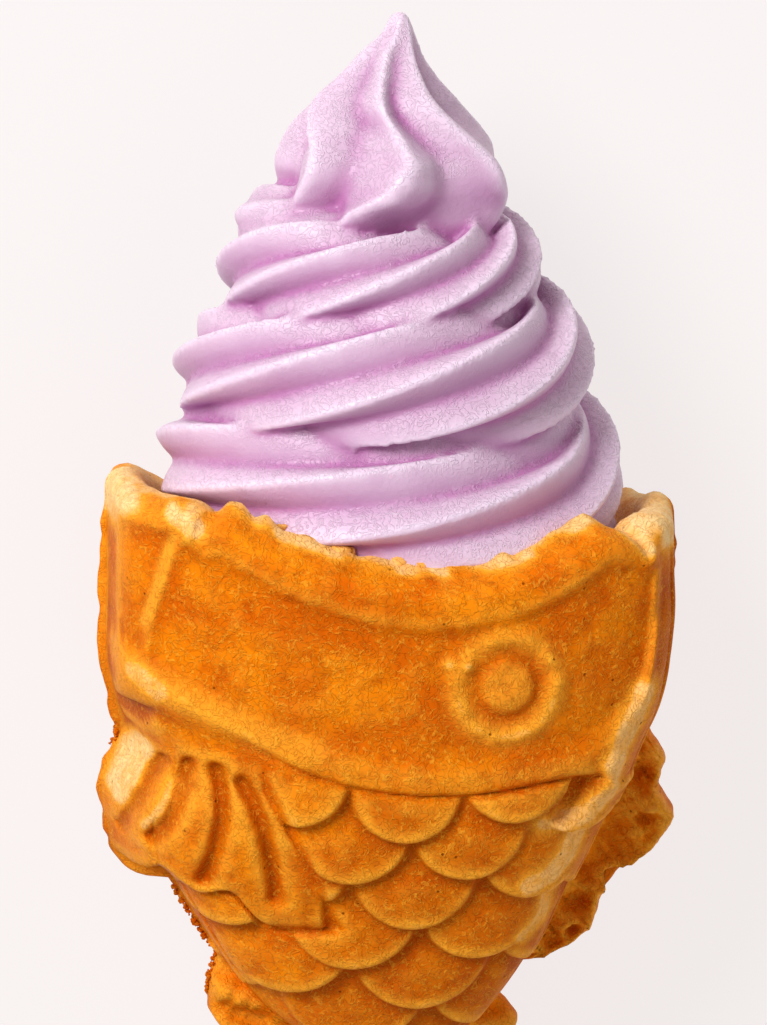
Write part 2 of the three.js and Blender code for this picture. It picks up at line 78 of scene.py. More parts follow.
# %% [markdown]
# ## Small tools for shapes
# A baked thing has no straight lines, so its outlines are tables of a few measured points that a smooth
# curve runs through. Such a shape could be sculpted by hand, but a table can be measured, read and
# corrected. The curve used here never overshoots its points. The other tools make soft steps, bumps and soft
# meetings of two surfaces. All of them work on whole numpy arrays at once, which keeps a mesh of a hundred
# thousand points quick to make.

# %% Curves, steps and bumps


def curve(table, column=1):
    """Smooth curve through the rows of a table (first column in, chosen column out), by cubics whose slopes
    are the harmonic mean of the neighbouring slopes, so that it never overshoots."""
    table = np.asarray(table, float)
    x, y = table[:, 0], table[:, column]
    gap = np.diff(x)
    slope = np.diff(y) / gap
    tangent = np.zeros_like(y)
    tangent[0], tangent[-1] = slope[0], slope[-1]
    before, after = slope[:-1], slope[1:]
    w1, w2 = 2 * gap[1:] + gap[:-1], gap[1:] + 2 * gap[:-1]
    same = before * after > 0
    safe_before, safe_after = np.where(same, before, 1), np.where(same, after, 1)
    tangent[1:-1] = np.where(same, (w1 + w2) / (w1 / safe_before + w2 / safe_after), 0)

    def value(q):
        q = np.clip(q, x[0], x[-1])
        i = np.clip(np.searchsorted(x, q, side="right") - 1, 0, len(x) - 2)
        t = (q - x[i]) / gap[i]
        start = (1 + 2 * t) * (1 - t) ** 2 * y[i] + t * (1 - t) ** 2 * gap[i] * tangent[i]
        return start + t * t * (3 - 2 * t) * y[i + 1] + t * t * (t - 1) * gap[i] * tangent[i + 1]

    return value


def step(a, b, v):
    """0 before a and 1 after b, with t * t * (3 - 2 t) between them."""
    t = np.clip((v - a) / (b - a), 0, 1)
    return t * t * (3 - 2 * t)


def bump(v, width):
    """Bell exp(-(v / width)^2)."""
    return np.exp(-((v / width) ** 2))


def soft_max(a, b, k):
    """The larger of a and b, with their meeting rounded over about k: (a + b + sqrt((a - b)^2 + k^2)) / 2."""
    return 0.5 * (a + b + np.sqrt((a - b) ** 2 + k * k))


def soft_min(a, b, k):
    """The smaller of a and b, rounded in the same way."""
    return 0.5 * (a + b - np.sqrt((a - b) ** 2 + k * k))


def line_distance(x, y, points):
    """Distance from each (x, y) to a chain of straight pieces."""
    found = np.full(np.shape(x), 1e9)
    for (ax, ay), (bx, by) in zip(points[:-1], points[1:]):
        dx, dy = bx - ax, by - ay
        t = np.clip(((x - ax) * dx + (y - ay) * dy) / (dx * dx + dy * dy), 0, 1)
        found = np.minimum(found, np.hypot(x - ax - dx * t, y - ay - dy * t))
    return found


print("curve check:", curve([[0, 0], [1, 2], [2, 3]])(np.array([0.5, 1.5])).round(2))

# %% [markdown]
# ## Irregularity
# Batter runs and blisters, so nothing on the crust is quite even. Two kinds of irregularity are used. One is
# a wave made of a few sines whose lengths don't fit each other, for the edges. The other is a smooth random
# field on a lattice, for the skin. Blender's own noise textures with a Displace modifier could do it too.
# Formulas of our own are chosen because the masks further down need the same numbers. Neither uses a random
# generator, so each run gives the same fish.

# %% Wave and grain


def wobble(v, seed):
    """Sum of five sines of unrelated lengths, roughly from -1 to 1."""
    total = 0
    for k, (pace, size) in enumerate(((0.61, 1.0), (1.37, 0.7), (2.9, 0.5), (5.3, 0.35), (9.1, 0.2))):
        total = total + size * np.sin(pace * v + seed * (1.7 + k) + 1.3 * np.sin(0.31 * pace * v + seed))
    return total / 1.9


def corner_value(i, j, seed):
    """Random number from -1 to 1 that belongs to a lattice corner, by mixing the bits of its numbers."""
    n = (i * 374761393 + j * 668265263 + seed * 1446648777) & 0xFFFFFFFF
    n = ((n ^ (n >> 13)) * 1274126177) & 0xFFFFFFFF
    return ((n ^ (n >> 16)) & 0xFFFF) / 32767.5 - 1


def grain(x, y, size, seed):
    """Smooth random field: the four corner values round each point, blended by soft steps."""
    u, v = x / size, y / size
    i, j = np.floor(u).astype(np.int64), np.floor(v).astype(np.int64)
    s, t = step(0, 1, u - i), step(0, 1, v - j)
    low = corner_value(i, j, seed) * (1 - s) + corner_value(i + 1, j, seed) * s
    high = corner_value(i, j + 1, seed) * (1 - s) + corner_value(i + 1, j + 1, seed) * s
    return low * (1 - t) + high * t


print("grain check:", grain(np.array([0.3, 4.1]), np.array([1.2, 2.2]), 2.0, 1).round(3))

# %% [markdown]
# ## The crust's outline
# Seen from its shown side, the fish is a wide open head that narrows to a tail. Thin fins stand out at its
# edges: a big ragged back fin on the right, a breast fin like a hand on the left, and two small fins near
# the tail. One closed curve could follow all of that, but the fins have to be thin where the body is plump,
# so each outline is its own small table, in the order y, x. The body's table has both edges and the depth of
# one half.

# %% Outline tables
BODY = [  # y, left edge, right edge, depth of one half
    [-120, -7.0, 7.0, 3.6],
    [-100, -8.5, 8.5, 5.5],
    [-92, -10.5, 10.0, 8.0],
    [-86, -14.5, 12.5, 11.5],
    [-78, -22.8, 17.8, 16.2],
    [-68, -29.6, 24.0, 21.6],
    [-58, -34.9, 28.6, 25.6],
    [-50, -38.2, 32.3, 28.6],
    [-42, -40.4, 36.4, 31.0],
    [-34, -42.1, 39.6, 32.2],
    [-28, -43.1, 42.1, 32.8],
    [-22, -44.0, 43.4, 33.2],
    [-10, -43.7, 44.2, 33.2],
    [8, -43.4, 43.2, 32.6],
]
BACK_FIN = [
    [-75.6, 19.5], [-74.4, 21.4], [-73.5, 23.8], [-72.4, 27.2], [-70.6, 30.4], [-67.6, 32.6], [-64.5, 33.8],
    [-61.4, 35.9], [-59.5, 37.9], [-57.6, 40.0], [-55.6, 42.6], [-53.4, 44.1], [-51.2, 44.5], [-48.9, 43.4],
    [-46.8, 42.6], [-44.0, 42.6], [-42.2, 43.2], [-40.4, 42.4], [-38.4, 41.2], [-36.5, 40.2], [-34.0, 39.5],
]
BREAST_FIN = [
    [-59.6, -35.0], [-59.2, -38.5], [-58.1, -40.9], [-56.4, -42.4], [-54.6, -43.6], [-52.4, -44.3],
    [-49.4, -44.8], [-47.5, -45.3], [-44.9, -45.5], [-42.3, -45.2], [-40.1, -44.6], [-38.2, -43.6],
    [-36.0, -42.5], [-33.5, -42.1], [-31.0, -42.0],
]
BELLY_FIN = [
    [-94, -9], [-91, -16.5], [-88, -22.5], [-84.5, -26.8], [-81, -29.0], [-77, -28.8], [-73.5, -28.0],
    [-71, -26],
]
REAR_FIN = [[-95, 8.5], [-92, 14.5], [-88.5, 19.5], [-85, 20.2], [-82, 18.4], [-79.5, 15.6], [-77, 13]]
TAIL_HALF = [[-118, 23.5], [-112, 22.8], [-106, 19.5], [-100, 15.2], [-95, 11.4], [-90, 8.6], [-86, 7.0]]
TAIL_NOTCH, TAIL_ROOT = -109.5, -88.0

left_edge, right_edge, half_depth = (curve(BODY, column) for column in (1, 2, 3))
back_fin_edge, breast_fin_edge = curve(BACK_FIN), curve(BREAST_FIN)
belly_fin_edge, rear_fin_edge, tail_half = curve(BELLY_FIN), curve(REAR_FIN), curve(TAIL_HALF)


def outline(y):
    """Left and right x of the whole outline, fins and tail included."""
    left, right = left_edge(y), right_edge(y)
    left = np.where((y < -31) & (y > -59.6), np.minimum(left, breast_fin_edge(y)), left)
    left = np.where((y < -71) & (y > -94), np.minimum(left, belly_fin_edge(y)), left)
    right = np.where((y < -35) & (y > -77), np.maximum(right, back_fin_edge(y)), right)
    right = np.where((y < -77) & (y > -95), np.maximum(right, rear_fin_edge(y)), right)
    half = tail_half(y)
    left = np.where(y < -86, np.minimum(left, -half - 0.5), left)
    right = np.where(y < -86, np.maximum(right, half), right)
    return left, right


def tail_edge(x):
    """y of the tail's swallow-shaped end: -109.5 - 7 (|x| / 20)^1.3."""
    return TAIL_NOTCH - 7.0 * (np.abs(x) / 20.0) ** 1.3


print("width at the gills:", np.round(np.subtract(*outline(np.array([-30.0]))[::-1]), 1))

# %% [markdown]
# ## The mouth's rim
# The open mouth dips in the middle and rises to two ears where the halves of the mould met. The rim seen
# from the front is a wide bowl, cut by a small notch beside each ear. The back rim stays lower, so that the
# soft serve covers it. A boolean cut would leave a sharp, flat edge, so the rim is a curve that the rows of
# the mesh follow, and the lip can roll over it.

# %% Rim
LIP_LOW, LIP_ROUND, MOUTH_HALF_WIDTH = -4.5, 3.0, 44.0


def front_rim(x):
    """y of the front rim: a parabola that is a little steeper on the right, capped by the two ears."""
    across = x - 6.0
    y = LIP_LOW + np.where(across < 0, 0.0083, 0.0122) * across * across
    right_ear = 2.3 - 0.34 * np.clip(x - 29.0, 0, 9.0) + 2.3 * step(35.8, 38.6, x) - 1.4 * step(40, 44, x)
    y = np.where(x < 0, soft_min(y, 6.4, 1.0), soft_min(y, right_ear, 1.0))
    return y - 2.0 * bump(x + 30.8, 1.9) - 1.3 * bump(x - 35.9, 1.2)


def back_rim(x):
    """y of the back rim, which rises to meet the ears."""
    ear = np.where(x < 0, 5.6, -1.2)
    return -8.0 + (ear + 8.0) * np.abs(x / 44.4) ** 3.5


print("rim at left, middle, right:", front_rim(np.array([-43.0, 6.0, 43.0])).round(1))

# %% [markdown]
# ## The plump body
# Each half of the mould is a shallow dish with nearly upright walls. The body is therefore a flat dome that
# meets a side wall at a rounded corner. The right wall leans back more than the left one. A subdivided box
# would give a similar form, but the widths and depths measured along the fish could not be typed in.

# %% Body
WALL_SHARE = 0.56  # height of the side wall as a share of the depth


def section(u, half_width, depth, draft, shoulder, rounding=2.2):
    """Height of a dished half: the lower of a flat dome and a steep wall, with a rounded meeting.
    u runs from -1 to 1 across, draft is how far the wall leans in, shoulder is the wall's height."""
    reach = np.abs(u) * half_width
    inner = np.clip(reach / (half_width - draft), 0, 1)
    dome = shoulder + (depth - shoulder) * np.clip(1 - inner**2.6, 0, 1) ** 0.62
    wall = shoulder * 1.25 * np.clip(half_width - reach, 0, None) / draft
    return np.clip(soft_min(dome, wall, rounding), 0, None)


def body_height(x, y):
    """Height of the bare body over (x, y), and the place u across it."""
    left, right, depth = left_edge(y), right_edge(y), half_depth(y)
    middle, half_width = (left + right) / 2, (right - left) / 2
    u = (x - middle) / half_width
    lower = step(-28, -50, y)
    draft = np.where(u > 0, 3.6 - 0.5 * lower, 1.6 + 1.5 * lower)
    return section(u, half_width, depth, np.minimum(draft, 0.3 * half_width), WALL_SHARE * depth), u


print("bare body's height over the middle of the gills:", body_height(0.0, -30.0)[0].round(1))

# %% [markdown]
# ## The breast fin's pad
# On the lower left the breast fin lies on the body like a hand with four fingers. It is a pad of its own
# section, ended below by a scalloped foot and parted by four grooves that fan out. It could be a mesh of its
# own pushed into the body, but the real one is one batter with it, so it is part of the same height.

# %% Breast fin pad
PAD_FOOT = [
    [-46, -54.2], [-43, -54.0], [-41, -53.4], [-39, -52.2], [-36.5, -50.6], [-34, -52.3], [-31, -53.8],
    [-27.5, -53.0], [-25.8, -53.8], [-24.6, -55.6], [-21.5, -59.0], [-18.5, -60.0], [-12, -59.8],
]
GROOVES = [  # depth, half width, points
    (3.0, 0.85, [(-36.2, -34.2), (-38.0, -37.6), (-39.8, -41.1), (-41.4, -45.1), (-42.3, -48.2)]),
    (2.6, 1.1, [(-32.6, -32.6), (-33.4, -35.4), (-34.5, -39.8), (-36.0, -43.0), (-38.2, -46.4)]),
    (2.2, 1.25, [(-28.9, -33.2), (-28.1, -36.4), (-28.1, -41.1), (-29.0, -46.0), (-30.7, -51.6)]),
    (2.2, 1.25, [(-25.2, -35.3), (-23.4, -38.6), (-21.9, -43.1), (-20.9, -48.1), (-20.0, -54.2)]),
]
pad_foot = curve(PAD_FOOT)


def pad_side(y):
    """x of the pad's right side."""
    return np.interp(y, [-60, -53, -36], [-13.0, -13.6, -22.5])


def pad_height(x, y):
    """Height of the pad, which slopes down past its foot and its right side."""
    left = np.minimum(breast_fin_edge(y), left_edge(y))
    right = right_edge(y)
    u = (x - (left + right) / 2) / ((right - left) / 2)
    pad = section(u, (right - left) / 2, half_depth(y), 7.5, 0.72 * half_depth(y), 7.0)
    pad = pad + 1.9 * np.clip(pad / 10, 0, 1)
    foot_slope = np.where(x < -34, 2.3, 2.6)
    pad = pad - foot_slope * np.clip(pad_foot(x) - y, 0, None)
    return pad - 2.0 * np.clip(x - pad_side(y), 0, None)


def groove_depth(x, y):
    """Depth of the four grooves: a bell across each line. It is larger on the steep side of the body, where a
    fall in height moves the skin less."""
    return np.max([depth * bump(line_distance(x, y, line), width) for depth, width, line in GROOVES], axis=0)


print("pad's height at its middle:", pad_height(-30.0, -45.0).round(1))

# %% [markdown]
# ## Lines of the face
# The mould's cutter gave the face a thick lip band along the rim and a raised gill cover with a crisp lower
# edge. Two creases run down beside the ears, and the gill cover ends on the right in a curled lobe. All of
# them follow lines that are given as tables here, so that the relief and the colours can use the same lines.

# %% Face tables
GILL_EDGE = [
    [-46, -18.5], [-42.4, -22.4], [-40.3, -23.6], [-38.8, -24.6], [-36.5, -25.0], [-33.9, -25.6],
    [-29.3, -27.4], [-24.7, -29.2], [-18.9, -32.0], [-13.8, -34.1], [-7.8, -35.9], [0, -37.2], [7, -37.6],
    [13.1, -37.3], [19.3, -36.6], [25, -36.2], [29, -37.0], [32, -38.0], [35, -38.6], [46, -40.0],
]
FACE_PANEL = [
    [-46, -14.0], [-38, -18.5], [-32, -21.5], [-24, -25.6], [-12, -29.6], [0, -31.8], [12, -32.6],
    [20, -32.6], [24.4, -31.8], [28.9, -30.0], [32.5, -26.8], [34.9, -24.0], [36.2, -20.0], [37.5, -14.0],
    [46, -10.0],
]
CREASE_LEFT = [[-24, -39.2], [-13.6, -38.6], [-9.3, -37.7], [-4.5, -36.3], [-0.2, -34.6], [3.5, -31.5]]
CREASE_RIGHT = [
    [-27, 35.2], [-25.1, 35.8], [-20.4, 36.4], [-17.3, 36.6], [-11.1, 37.3], [-6.1, 37.5], [-2.8, 36.6],
]
RIGHT_LOBE = [(31.0, -34.5), (30.7, -37.3), (29.8, -39.9), (27.2, -42.3), (23.6, -43.4), (18.6, -43.0)]
LIP_BAND = 8.0  # width of the band along the rim
gill_edge, face_panel = curve(GILL_EDGE), curve(FACE_PANEL)
crease_left, crease_right = curve(CREASE_LEFT), curve(CREASE_RIGHT)
print("gill cover's edge at the middle:", gill_edge(0.0).round(1))

# %% [markdown]
# ## Scales
# Below the gill cover lie rows of scales. Each is a disc that is thickest at its lower edge, and a lower
# row's discs show between those of the row above. Copies of a scale mesh would need to be fitted to the dome
# one by one. As a height over (x, y) they follow it by themselves, and the highest disc wins wherever two
# overlap.

# %% Scales
SCALE_ROWS, SCALE_PITCH, SCALE_RISE = 7, 7.75, 4.2


def scale_rows(x, y):
    """Height of the scales: rows of discs, each tilted so that its lower edge stands proud."""
    height = np.zeros(np.shape(x))
    for row in range(SCALE_ROWS):
        gap = 16.6 + 1.1 * row
        radius = 0.535 * gap
        for place in range(-3, 4):
            centre = -1.0 + 0.9 * row + gap * (place + 0.5 * (row % 2))
            foot = -45.2 - SCALE_PITCH * row + 0.0095 * centre * centre
            away = np.hypot(x - centre, y - foot - radius)
            inside = step(radius + 0.5, radius - 1.35, away)
            ramp = 1.0 - (y - foot) / (SCALE_PITCH * 2.1)
            crown = 0.6 * np.clip(1 - (away / radius) ** 2, 0, 1)
            disc = SCALE_RISE * np.clip(ramp, 0, 1) + crown * np.clip(2 * ramp, 0, 1)
            height = np.maximum(height, inside * disc)
    return height


print("scales rise to", scale_rows(*np.meshgrid(np.arange(-20, 21), np.arange(-80, -45))).max().round(1))

# %% [markdown]
# ## The eye
# The eye is a ring with a domed pupil inside it. Where batter didn't fill the mould, the ring is broken at
# its upper left, and two nibs stand there instead. A torus and a sphere would be too perfect and would need
# joining, so both are bells of the distance from the eye's middle, made lumpy by the grain.

# %% Eye
EYE, EYE_RING, EYE_PUPIL = (13.9, -20.8), 7.5, 4.3
EYE_NIBS = [(5.2, -16.8), (7.9, -17.1)]


def eye_height(x, y):
    """Ring, moat and domed pupil of the eye, with a gap in the ring at its upper left and two nibs."""
    away = np.hypot(x - EYE[0], 0.98 * (y - EYE[1]))
    turn = np.arctan2(y - EYE[1], x - EYE[0]) - np.radians(128)
    gap = 1 - 0.5 * bump(np.angle(np.exp(1j * turn)), 0.25)
    pupil = 1.1 * np.sqrt(np.clip(1 - (away / EYE_PUPIL) ** 2, 0, 1))
    nib = sum(0.6 * bump(np.hypot(x - nib_x, y - nib_y), 1.0) for nib_x, nib_y in EYE_NIBS)
    lumps = 1 + 0.35 * grain(x, y, 1.7, 5)
    return (0.95 * bump(away - EYE_RING, 1.5) * gap + pupil) * lumps - 0.1 * bump(away - 5.2, 0.9) + nib


print("pupil's height:", eye_height(*np.array(EYE)).round(2))

# %% [markdown]
# ## All that the cutter left
# The pieces of relief are added up to one height that lies on the bare body. The scales stop where the pad
# or the gill cover begins, and a hollow between the last scale and the right lobe gives the lobe its deep
# shadow.

# %% Relief


def relief(x, y, rim, u):
    """Everything the mould's cutter left on the body: lip band, gill cover, eye, creases and scales."""
    band = LIP_BAND * np.clip(1 - (x / 60) ** 2, 0.2, 1)
    above_band = y - (rim - band)
    lip = 1.5 * step(-0.8, 2.2, above_band) * (0.75 + 0.25 * np.clip(above_band / band, 0, 1))
    above_gill = y - gill_edge(x)
    soft = step(-14, -30, x)
    cover = step(-0.5 - 1.6 * soft, 1.0 + 2.0 * soft, above_gill)
    cover = np.maximum(cover, step(25.5, 31.0, x) * step(-42.0, -38.0, y))
    gill = 1.9 * cover * (1 - step(-2.6, 3.0, y - face_panel(x))) + 0.5 * cover
    lobe = 1.7 * bump(line_distance(x, y, RIGHT_LOBE), 1.9)
    left = x - crease_left(y)
    left_line = (0.9 * bump(left, 0.9) - 0.5 * step(0.5, -1.5, left)) * step(-18, -15, y)
    right = x - crease_right(y)
    right_line = (0.9 * bump(right, 0.9) - 0.6 * step(-0.5, 1.5, right)) * step(-27, -23, y)
    past_scale = np.hypot(x - 15.6, y + 34.0) - 8.9
    hollow = -3.6 * bump(past_scale - 0.8, 3.0) * step(-0.3, 0.5, past_scale) * step(19.0, 22.5, x)
    hollow = hollow * step(0.2, -0.8, above_gill) * step(-45, -42, y) * step(30.5, 28.0, x)
    beside_pad = step(-23, -19.5, x + 0.45 * (y + 36)) + step(0, -1.5, y - pad_foot(x))
    shown = step(0.4, -0.5, above_gill) * step(1.0, 0.94, np.abs(u)) * step(-94, -86, y)
    scales = shown * np.clip(beside_pad, 0, 1) * scale_rows(x, y)
    return lip + gill + eye_height(x, y) + left_line + right_line + hollow + soft_max(scales, lobe, 0.4)


print("relief on a scale:", relief(-1.0, -50.0, LIP_LOW, 0.0).round(1))

# %% [markdown]
# ## The back fin
# The back fin is the one that shows best. It is thick, dented by burst bubbles, and a corner of it is only a
# thin lower layer. Each dent is a bell with a low wall round it, as a burst bubble leaves it. A bump texture
# could suggest them, but they cast shadows and show in the outline, so they are geometry.

# %% Back fin
BACK_FIN_DENTS = [  # x, y, radius, depth
    (39.2, -44.0, 2.1, 2.4), (39.6, -51.0, 1.1, 1.2), (34.0, -54.4, 2.6, 2.4), (30.4, -58.8, 2.2, 2.4),
    (28.5, -64.7, 2.0, 2.2), (28.8, -69.2, 1.2, 3.4), (25.0, -71.0, 1.6, 1.4),
]
BACK_FIN_BUBBLES = [  # x, y, radius, height
    (39.3, -44.9, 0.6, 1.3), (41.6, -44.7, 0.5, 1.0), (40.2, -49.4, 1.0, 1.1), (42.3, -48.6, 0.8, 0.9),
]


def ribs(x, y, from_x, from_y, count, start, end):
    """Ribs that fan out from a point: cosine of the angle, count times between the two given angles."""
    angle = np.degrees(np.arctan2(y - from_y, x - from_x))
    return np.cos(2 * np.pi * (angle - start) / (end - start) * count)


def back_fin_height(x, y, from_edge):
    """The dented back fin, with a raised rim and a thin lower layer at its lower corner."""
    fin = 5.0 + 0.5 * ribs(x, y, 8, -40, 5, -52, 8) + 0.6 * wobble(1.3 * x + 0.9 * y, 2.0)
    fin = fin + 0.4 * wobble(1.9 * y - 0.6 * x, 5.0)
    for dent_x, dent_y, radius, deep in BACK_FIN_DENTS:
        away = np.hypot(x - dent_x, y - dent_y)
        fin = fin - deep * bump(away, radius) + 0.3 * deep * bump(away - 1.7 * radius, 0.7 * radius)
    for dot_x, dot_y, radius, high in BACK_FIN_BUBBLES:
        fin = fin + high * bump(np.hypot(x - dot_x, y - dot_y), radius)
    fin = fin + 0.9 * bump(from_edge - 2.0, 1.2)
    thin = step(-0.3, 0.5, x - 33.2 + 0.12 * (y + 60)) * step(0.4, -0.4, y + 59.5 - 0.15 * (x - 33.5))
    fin = fin + (1.6 + 0.3 * wobble(1.7 * x - y, 4.0) - fin) * thin
    return np.clip(fin, 0.7, None)


print("back fin's height:", back_fin_height(36.0, -48.0, 5.0).round(1))

# %% [markdown]
# ## The other fins and the tail
# These fins are what ran out between the mould's halves: thin, ribbed across, with a rounded edge. The
# tail's ribs fan out from a point inside the body. One function gives them all, because they share the rule
# that the height falls to nothing at the outline along a quarter circle.

# %% Fins and tail
FIN_EDGE = 2.4  # how far in from the outline a fin reaches its full height


def fin_height(x, y, left, right):
    """Height of fins and tail over (x, y), rounded down to nothing at their edges."""
    from_edge = np.minimum(np.minimum(x - left, right - x), 1.1 * (y - tail_edge(x)))
    edge = np.sqrt(np.clip(1 - (1 - np.clip(from_edge / FIN_EDGE, 0, 1)) ** 2, 0, 1))
    height = np.full(np.shape(x), 1.3)
    height = np.where((x > 0) & (y > -78) & (y < -34), back_fin_height(x, y, from_edge), height)
    belly = 4.6 + 1.3 * np.cos((y + 78 + 0.4 * (x + 25)) / 6.5 * 2 * np.pi)
    belly = belly + 0.6 * wobble(1.1 * x - 0.8 * y, 3.0)
    height = np.where((x < 0) & (y < -70) & (y > -92), belly, height)
    rear = 3.6 + 1.0 * np.cos((y + 85) / 6.0 * 2 * np.pi)
    height = np.where((x > 0) & (y < -78) & (y > -92), rear, height)
    tail = 4.6 + 0.9 * ribs(x, y, 0, -70, 9, -125, -55)
    return (height + (tail - height) * step(-88, -95, y)) * edge


print("tail's height:", fin_height(0.0, -105.0, -15.0, 15.0).round(1))

# %% [markdown]
# ## Putting one half together
# Body, relief, pad and fins meet by soft maxima, because batter leaves no sharp inner corner. A wedge is
# then cut into the left side between the gill cover and the breast fin, where the fin's thumb stands free. A
# little grain over everything makes the skin uneven. Booleans between separate meshes could join the same
# forms, but they leave sharp creases and uneven faces, which smooth shading shows up.

# %% Height of one half
SKIN_GRAIN = [(0.16, 6.0), (0.12, 2.6), (0.07, 1.4)]  # height and length of swells, lumps and pimples


def wedge(x, y):
    """Height that the left recess leaves: a floor slanting up from the seam, with a steep side along the
    thumb and a gentler one along the gill cover."""
    floor = np.maximum(3.9 * (x + 43.6), 0.5)
    above = 0.881 * (y + 25.6) - 0.473 * (x + 37.6)
    beside = 0.916 * (x + 37.6) - 0.400 * (y + 25.6)
    side = soft_max(4.5 * above, 6.5 * beside, 2.5)
    return floor + np.clip(side, 0, None)


def half_height(x, y, left, right, rim):
    """Height of one half of the crust over (x, y)."""
    body, u = body_height(x, y)
    height = body + relief(x, y, rim, u) * np.clip(body / 9.0, 0, 1)
    inside = step(0.0, 2.0, y - pad_foot(x)) * step(0.0, -4.0, x - pad_side(y)) * step(-22, -31, x)
    pad = soft_max(height - 12.0 * inside, pad_height(x, y), 0.7)
    height = height + (pad - height) * step(-26.5, -33.0, y) - groove_depth(x, y) * step(-31.0, -33.5, y)
    height = soft_min(height, wedge(x, y), 2.2)
    height = soft_max(height, fin_height(x, y, left, right), 1.4) - 0.5
    return np.maximum(height, 0.45)


def skin_grain(x, y, seed):
    """Unevenness of the baked skin in millimetres, as a sum of swells, lumps and pimples."""
    return sum(size * grain(x, y, length, seed + i) for i, (size, length) in enumerate(SKIN_GRAIN))


print("height at the middle of the face:", half_height(0.0, -20.0, -44.0, 44.0, LIP_LOW).round(1))

# %% [markdown]
# ## Rows that follow the fish
# The crust is one closed skin on a grid. A square grid with the outside cut away would have a jagged outline
# and few points on the steep sides. Here the rows bend from the curve of the rim to the curve of the tail,
# and the columns keep to the body's edges, so that a fin never borrows points from the body.

# %% Rows
ROWS = 214


def row_line(base, rim_share, tail_share, x, rim):
    """y of a row at x: its base height, bent by its share of the rim's and of the tail's shape."""
    return base + rim_share * (rim(x) - LIP_LOW) + tail_share * (tail_edge(x) - TAIL_NOTCH)


def row_bases(count):
    """Base heights of the rows from under the rim to the tail's end, and how much rim and tail bend them."""
    base = np.linspace(LIP_LOW - LIP_ROUND, TAIL_NOTCH, count)[:, None]
    return base, step(-26, 0, base - base[0]), step(TAIL_ROOT, TAIL_NOTCH, base)


def meet(edge, rows, start, rim):
    """x where each bent row meets an edge curve, by halving the step to it sixteen times."""
    x = np.full_like(rows[0], start)
    for _ in range(16):
        x = 0.5 * x + 0.5 * edge(row_line(*rows, x, rim))
    return x


print("row heights from", row_bases(ROWS)[0].max(), "to", row_bases(ROWS)[0].min())

# %% [markdown]
# ## Points of the two halves
# Each row goes from the outline to the body's edge, across the body and out to the other outline. Across the
# body the columns crowd towards the side walls, where the surface is steepest. At the seam between the
# halves a thin ragged flash of batter stands out, so the outline is never closer than that to the body. The
# back isn't seen as closely and gets fewer columns, and it is pressed flat where the fish lies on it.

# %% Points of the halves
FRONT_COLUMNS, BACK_COLUMNS = (22, 240, 27), (10, 92, 12)  # on the left fin, the body and the right fin


def flash(y, seed):
    """How far the seam's flash stands out."""
    return 0.6 + 0.45 * grain(y, 0 * y, 4.5, seed) + 0.3 * grain(y, 0 * y, 1.5, seed + 1)


def ragged(y, seed):
    """Fine raggedness of a fin's edge."""
    return 0.30 * grain(y, 0 * y, 1.6, seed) + 0.35 * grain(y, 0 * y, 4.0, seed + 1)


def outer_half(columns, rim, seed):
    """x, y and height of one half's grid points, columns running from the left seam to the right one."""
    rows = row_bases(ROWS)
    base = rows[0]
    body_left = meet(left_edge, rows, -MOUTH_HALF_WIDTH, front_rim)
    body_right = meet(right_edge, rows, MOUTH_HALF_WIDTH, front_rim)
    fin_left = meet(lambda y: outline(y)[0] + ragged(y, 61), rows, -MOUTH_HALF_WIDTH, front_rim)
    fin_right = meet(lambda y: outline(y)[1] + ragged(y, 63), rows, MOUTH_HALF_WIDTH, front_rim)
    fin_left = np.minimum(fin_left, body_left - 0.2 - step(-9, -13, base) * flash(base, 65))
    fin_right = np.maximum(fin_right, body_right + 0.2 + 0.8 * step(-31, -34, base) * flash(base, 67))
    on_left, on_body, on_right = columns
    a = np.linspace(0, 1, on_left, endpoint=False)[None]
    b = np.linspace(0, 1, on_body + 1)[None]
    c = np.arange(1, on_right + 1)[None] / on_right
    x = np.concatenate([
        fin_left + (body_left - fin_left) * a,
        (body_left + body_right) / 2 - (body_right - body_left) / 2 * np.cos(np.pi * b),
        body_right + (fin_right - body_right) * c,
    ], axis=1)
    y = row_line(*rows, x, rim)
    height = half_height(x, y, fin_left + 0 * x, fin_right + 0 * x, rim(x))
    height = height + skin_grain(x, y, seed) * np.clip(height / 3.0, 0, 1)
    height[:, [0, -1]] = 0
    return x, y, height


front_x, front_y, front_height = outer_half(FRONT_COLUMNS, front_rim, 11)
back_x, back_y, back_height = outer_half(BACK_COLUMNS, back_rim, 31)
back_height = np.minimum(back_height, BACK_REST)
print("front grid", front_x.shape, "back grid", back_x.shape)

# %% [markdown]
# ## Lip and pocket
# From the rim the skin rolls over the lip and goes down into the pocket that holds the soft serve. The
# pocket is a rounded box that narrows and ends in a bowl above the belly. Its depth is a guess, as it is
# full. A Solidify modifier could give the wall, but it would hollow the thin fins as well. More rows of the
# same grid let the lip be torn and the wall be as thick as it has to be.

# %% Inner rows
WALL = 6.2
MOUTH_HALF_DEPTH, POCKET_FLOOR = 33.0, -31.0
POCKET_WIDTH, POCKET_DEPTH = MOUTH_HALF_WIDTH - WALL, MOUTH_HALF_DEPTH - WALL
WIDTH_POWER, DEPTH_POWER = 2.8, 2.2  # how square the pocket's rounded box is
LIP_ROWS, POCKET_ROWS = 10, 14


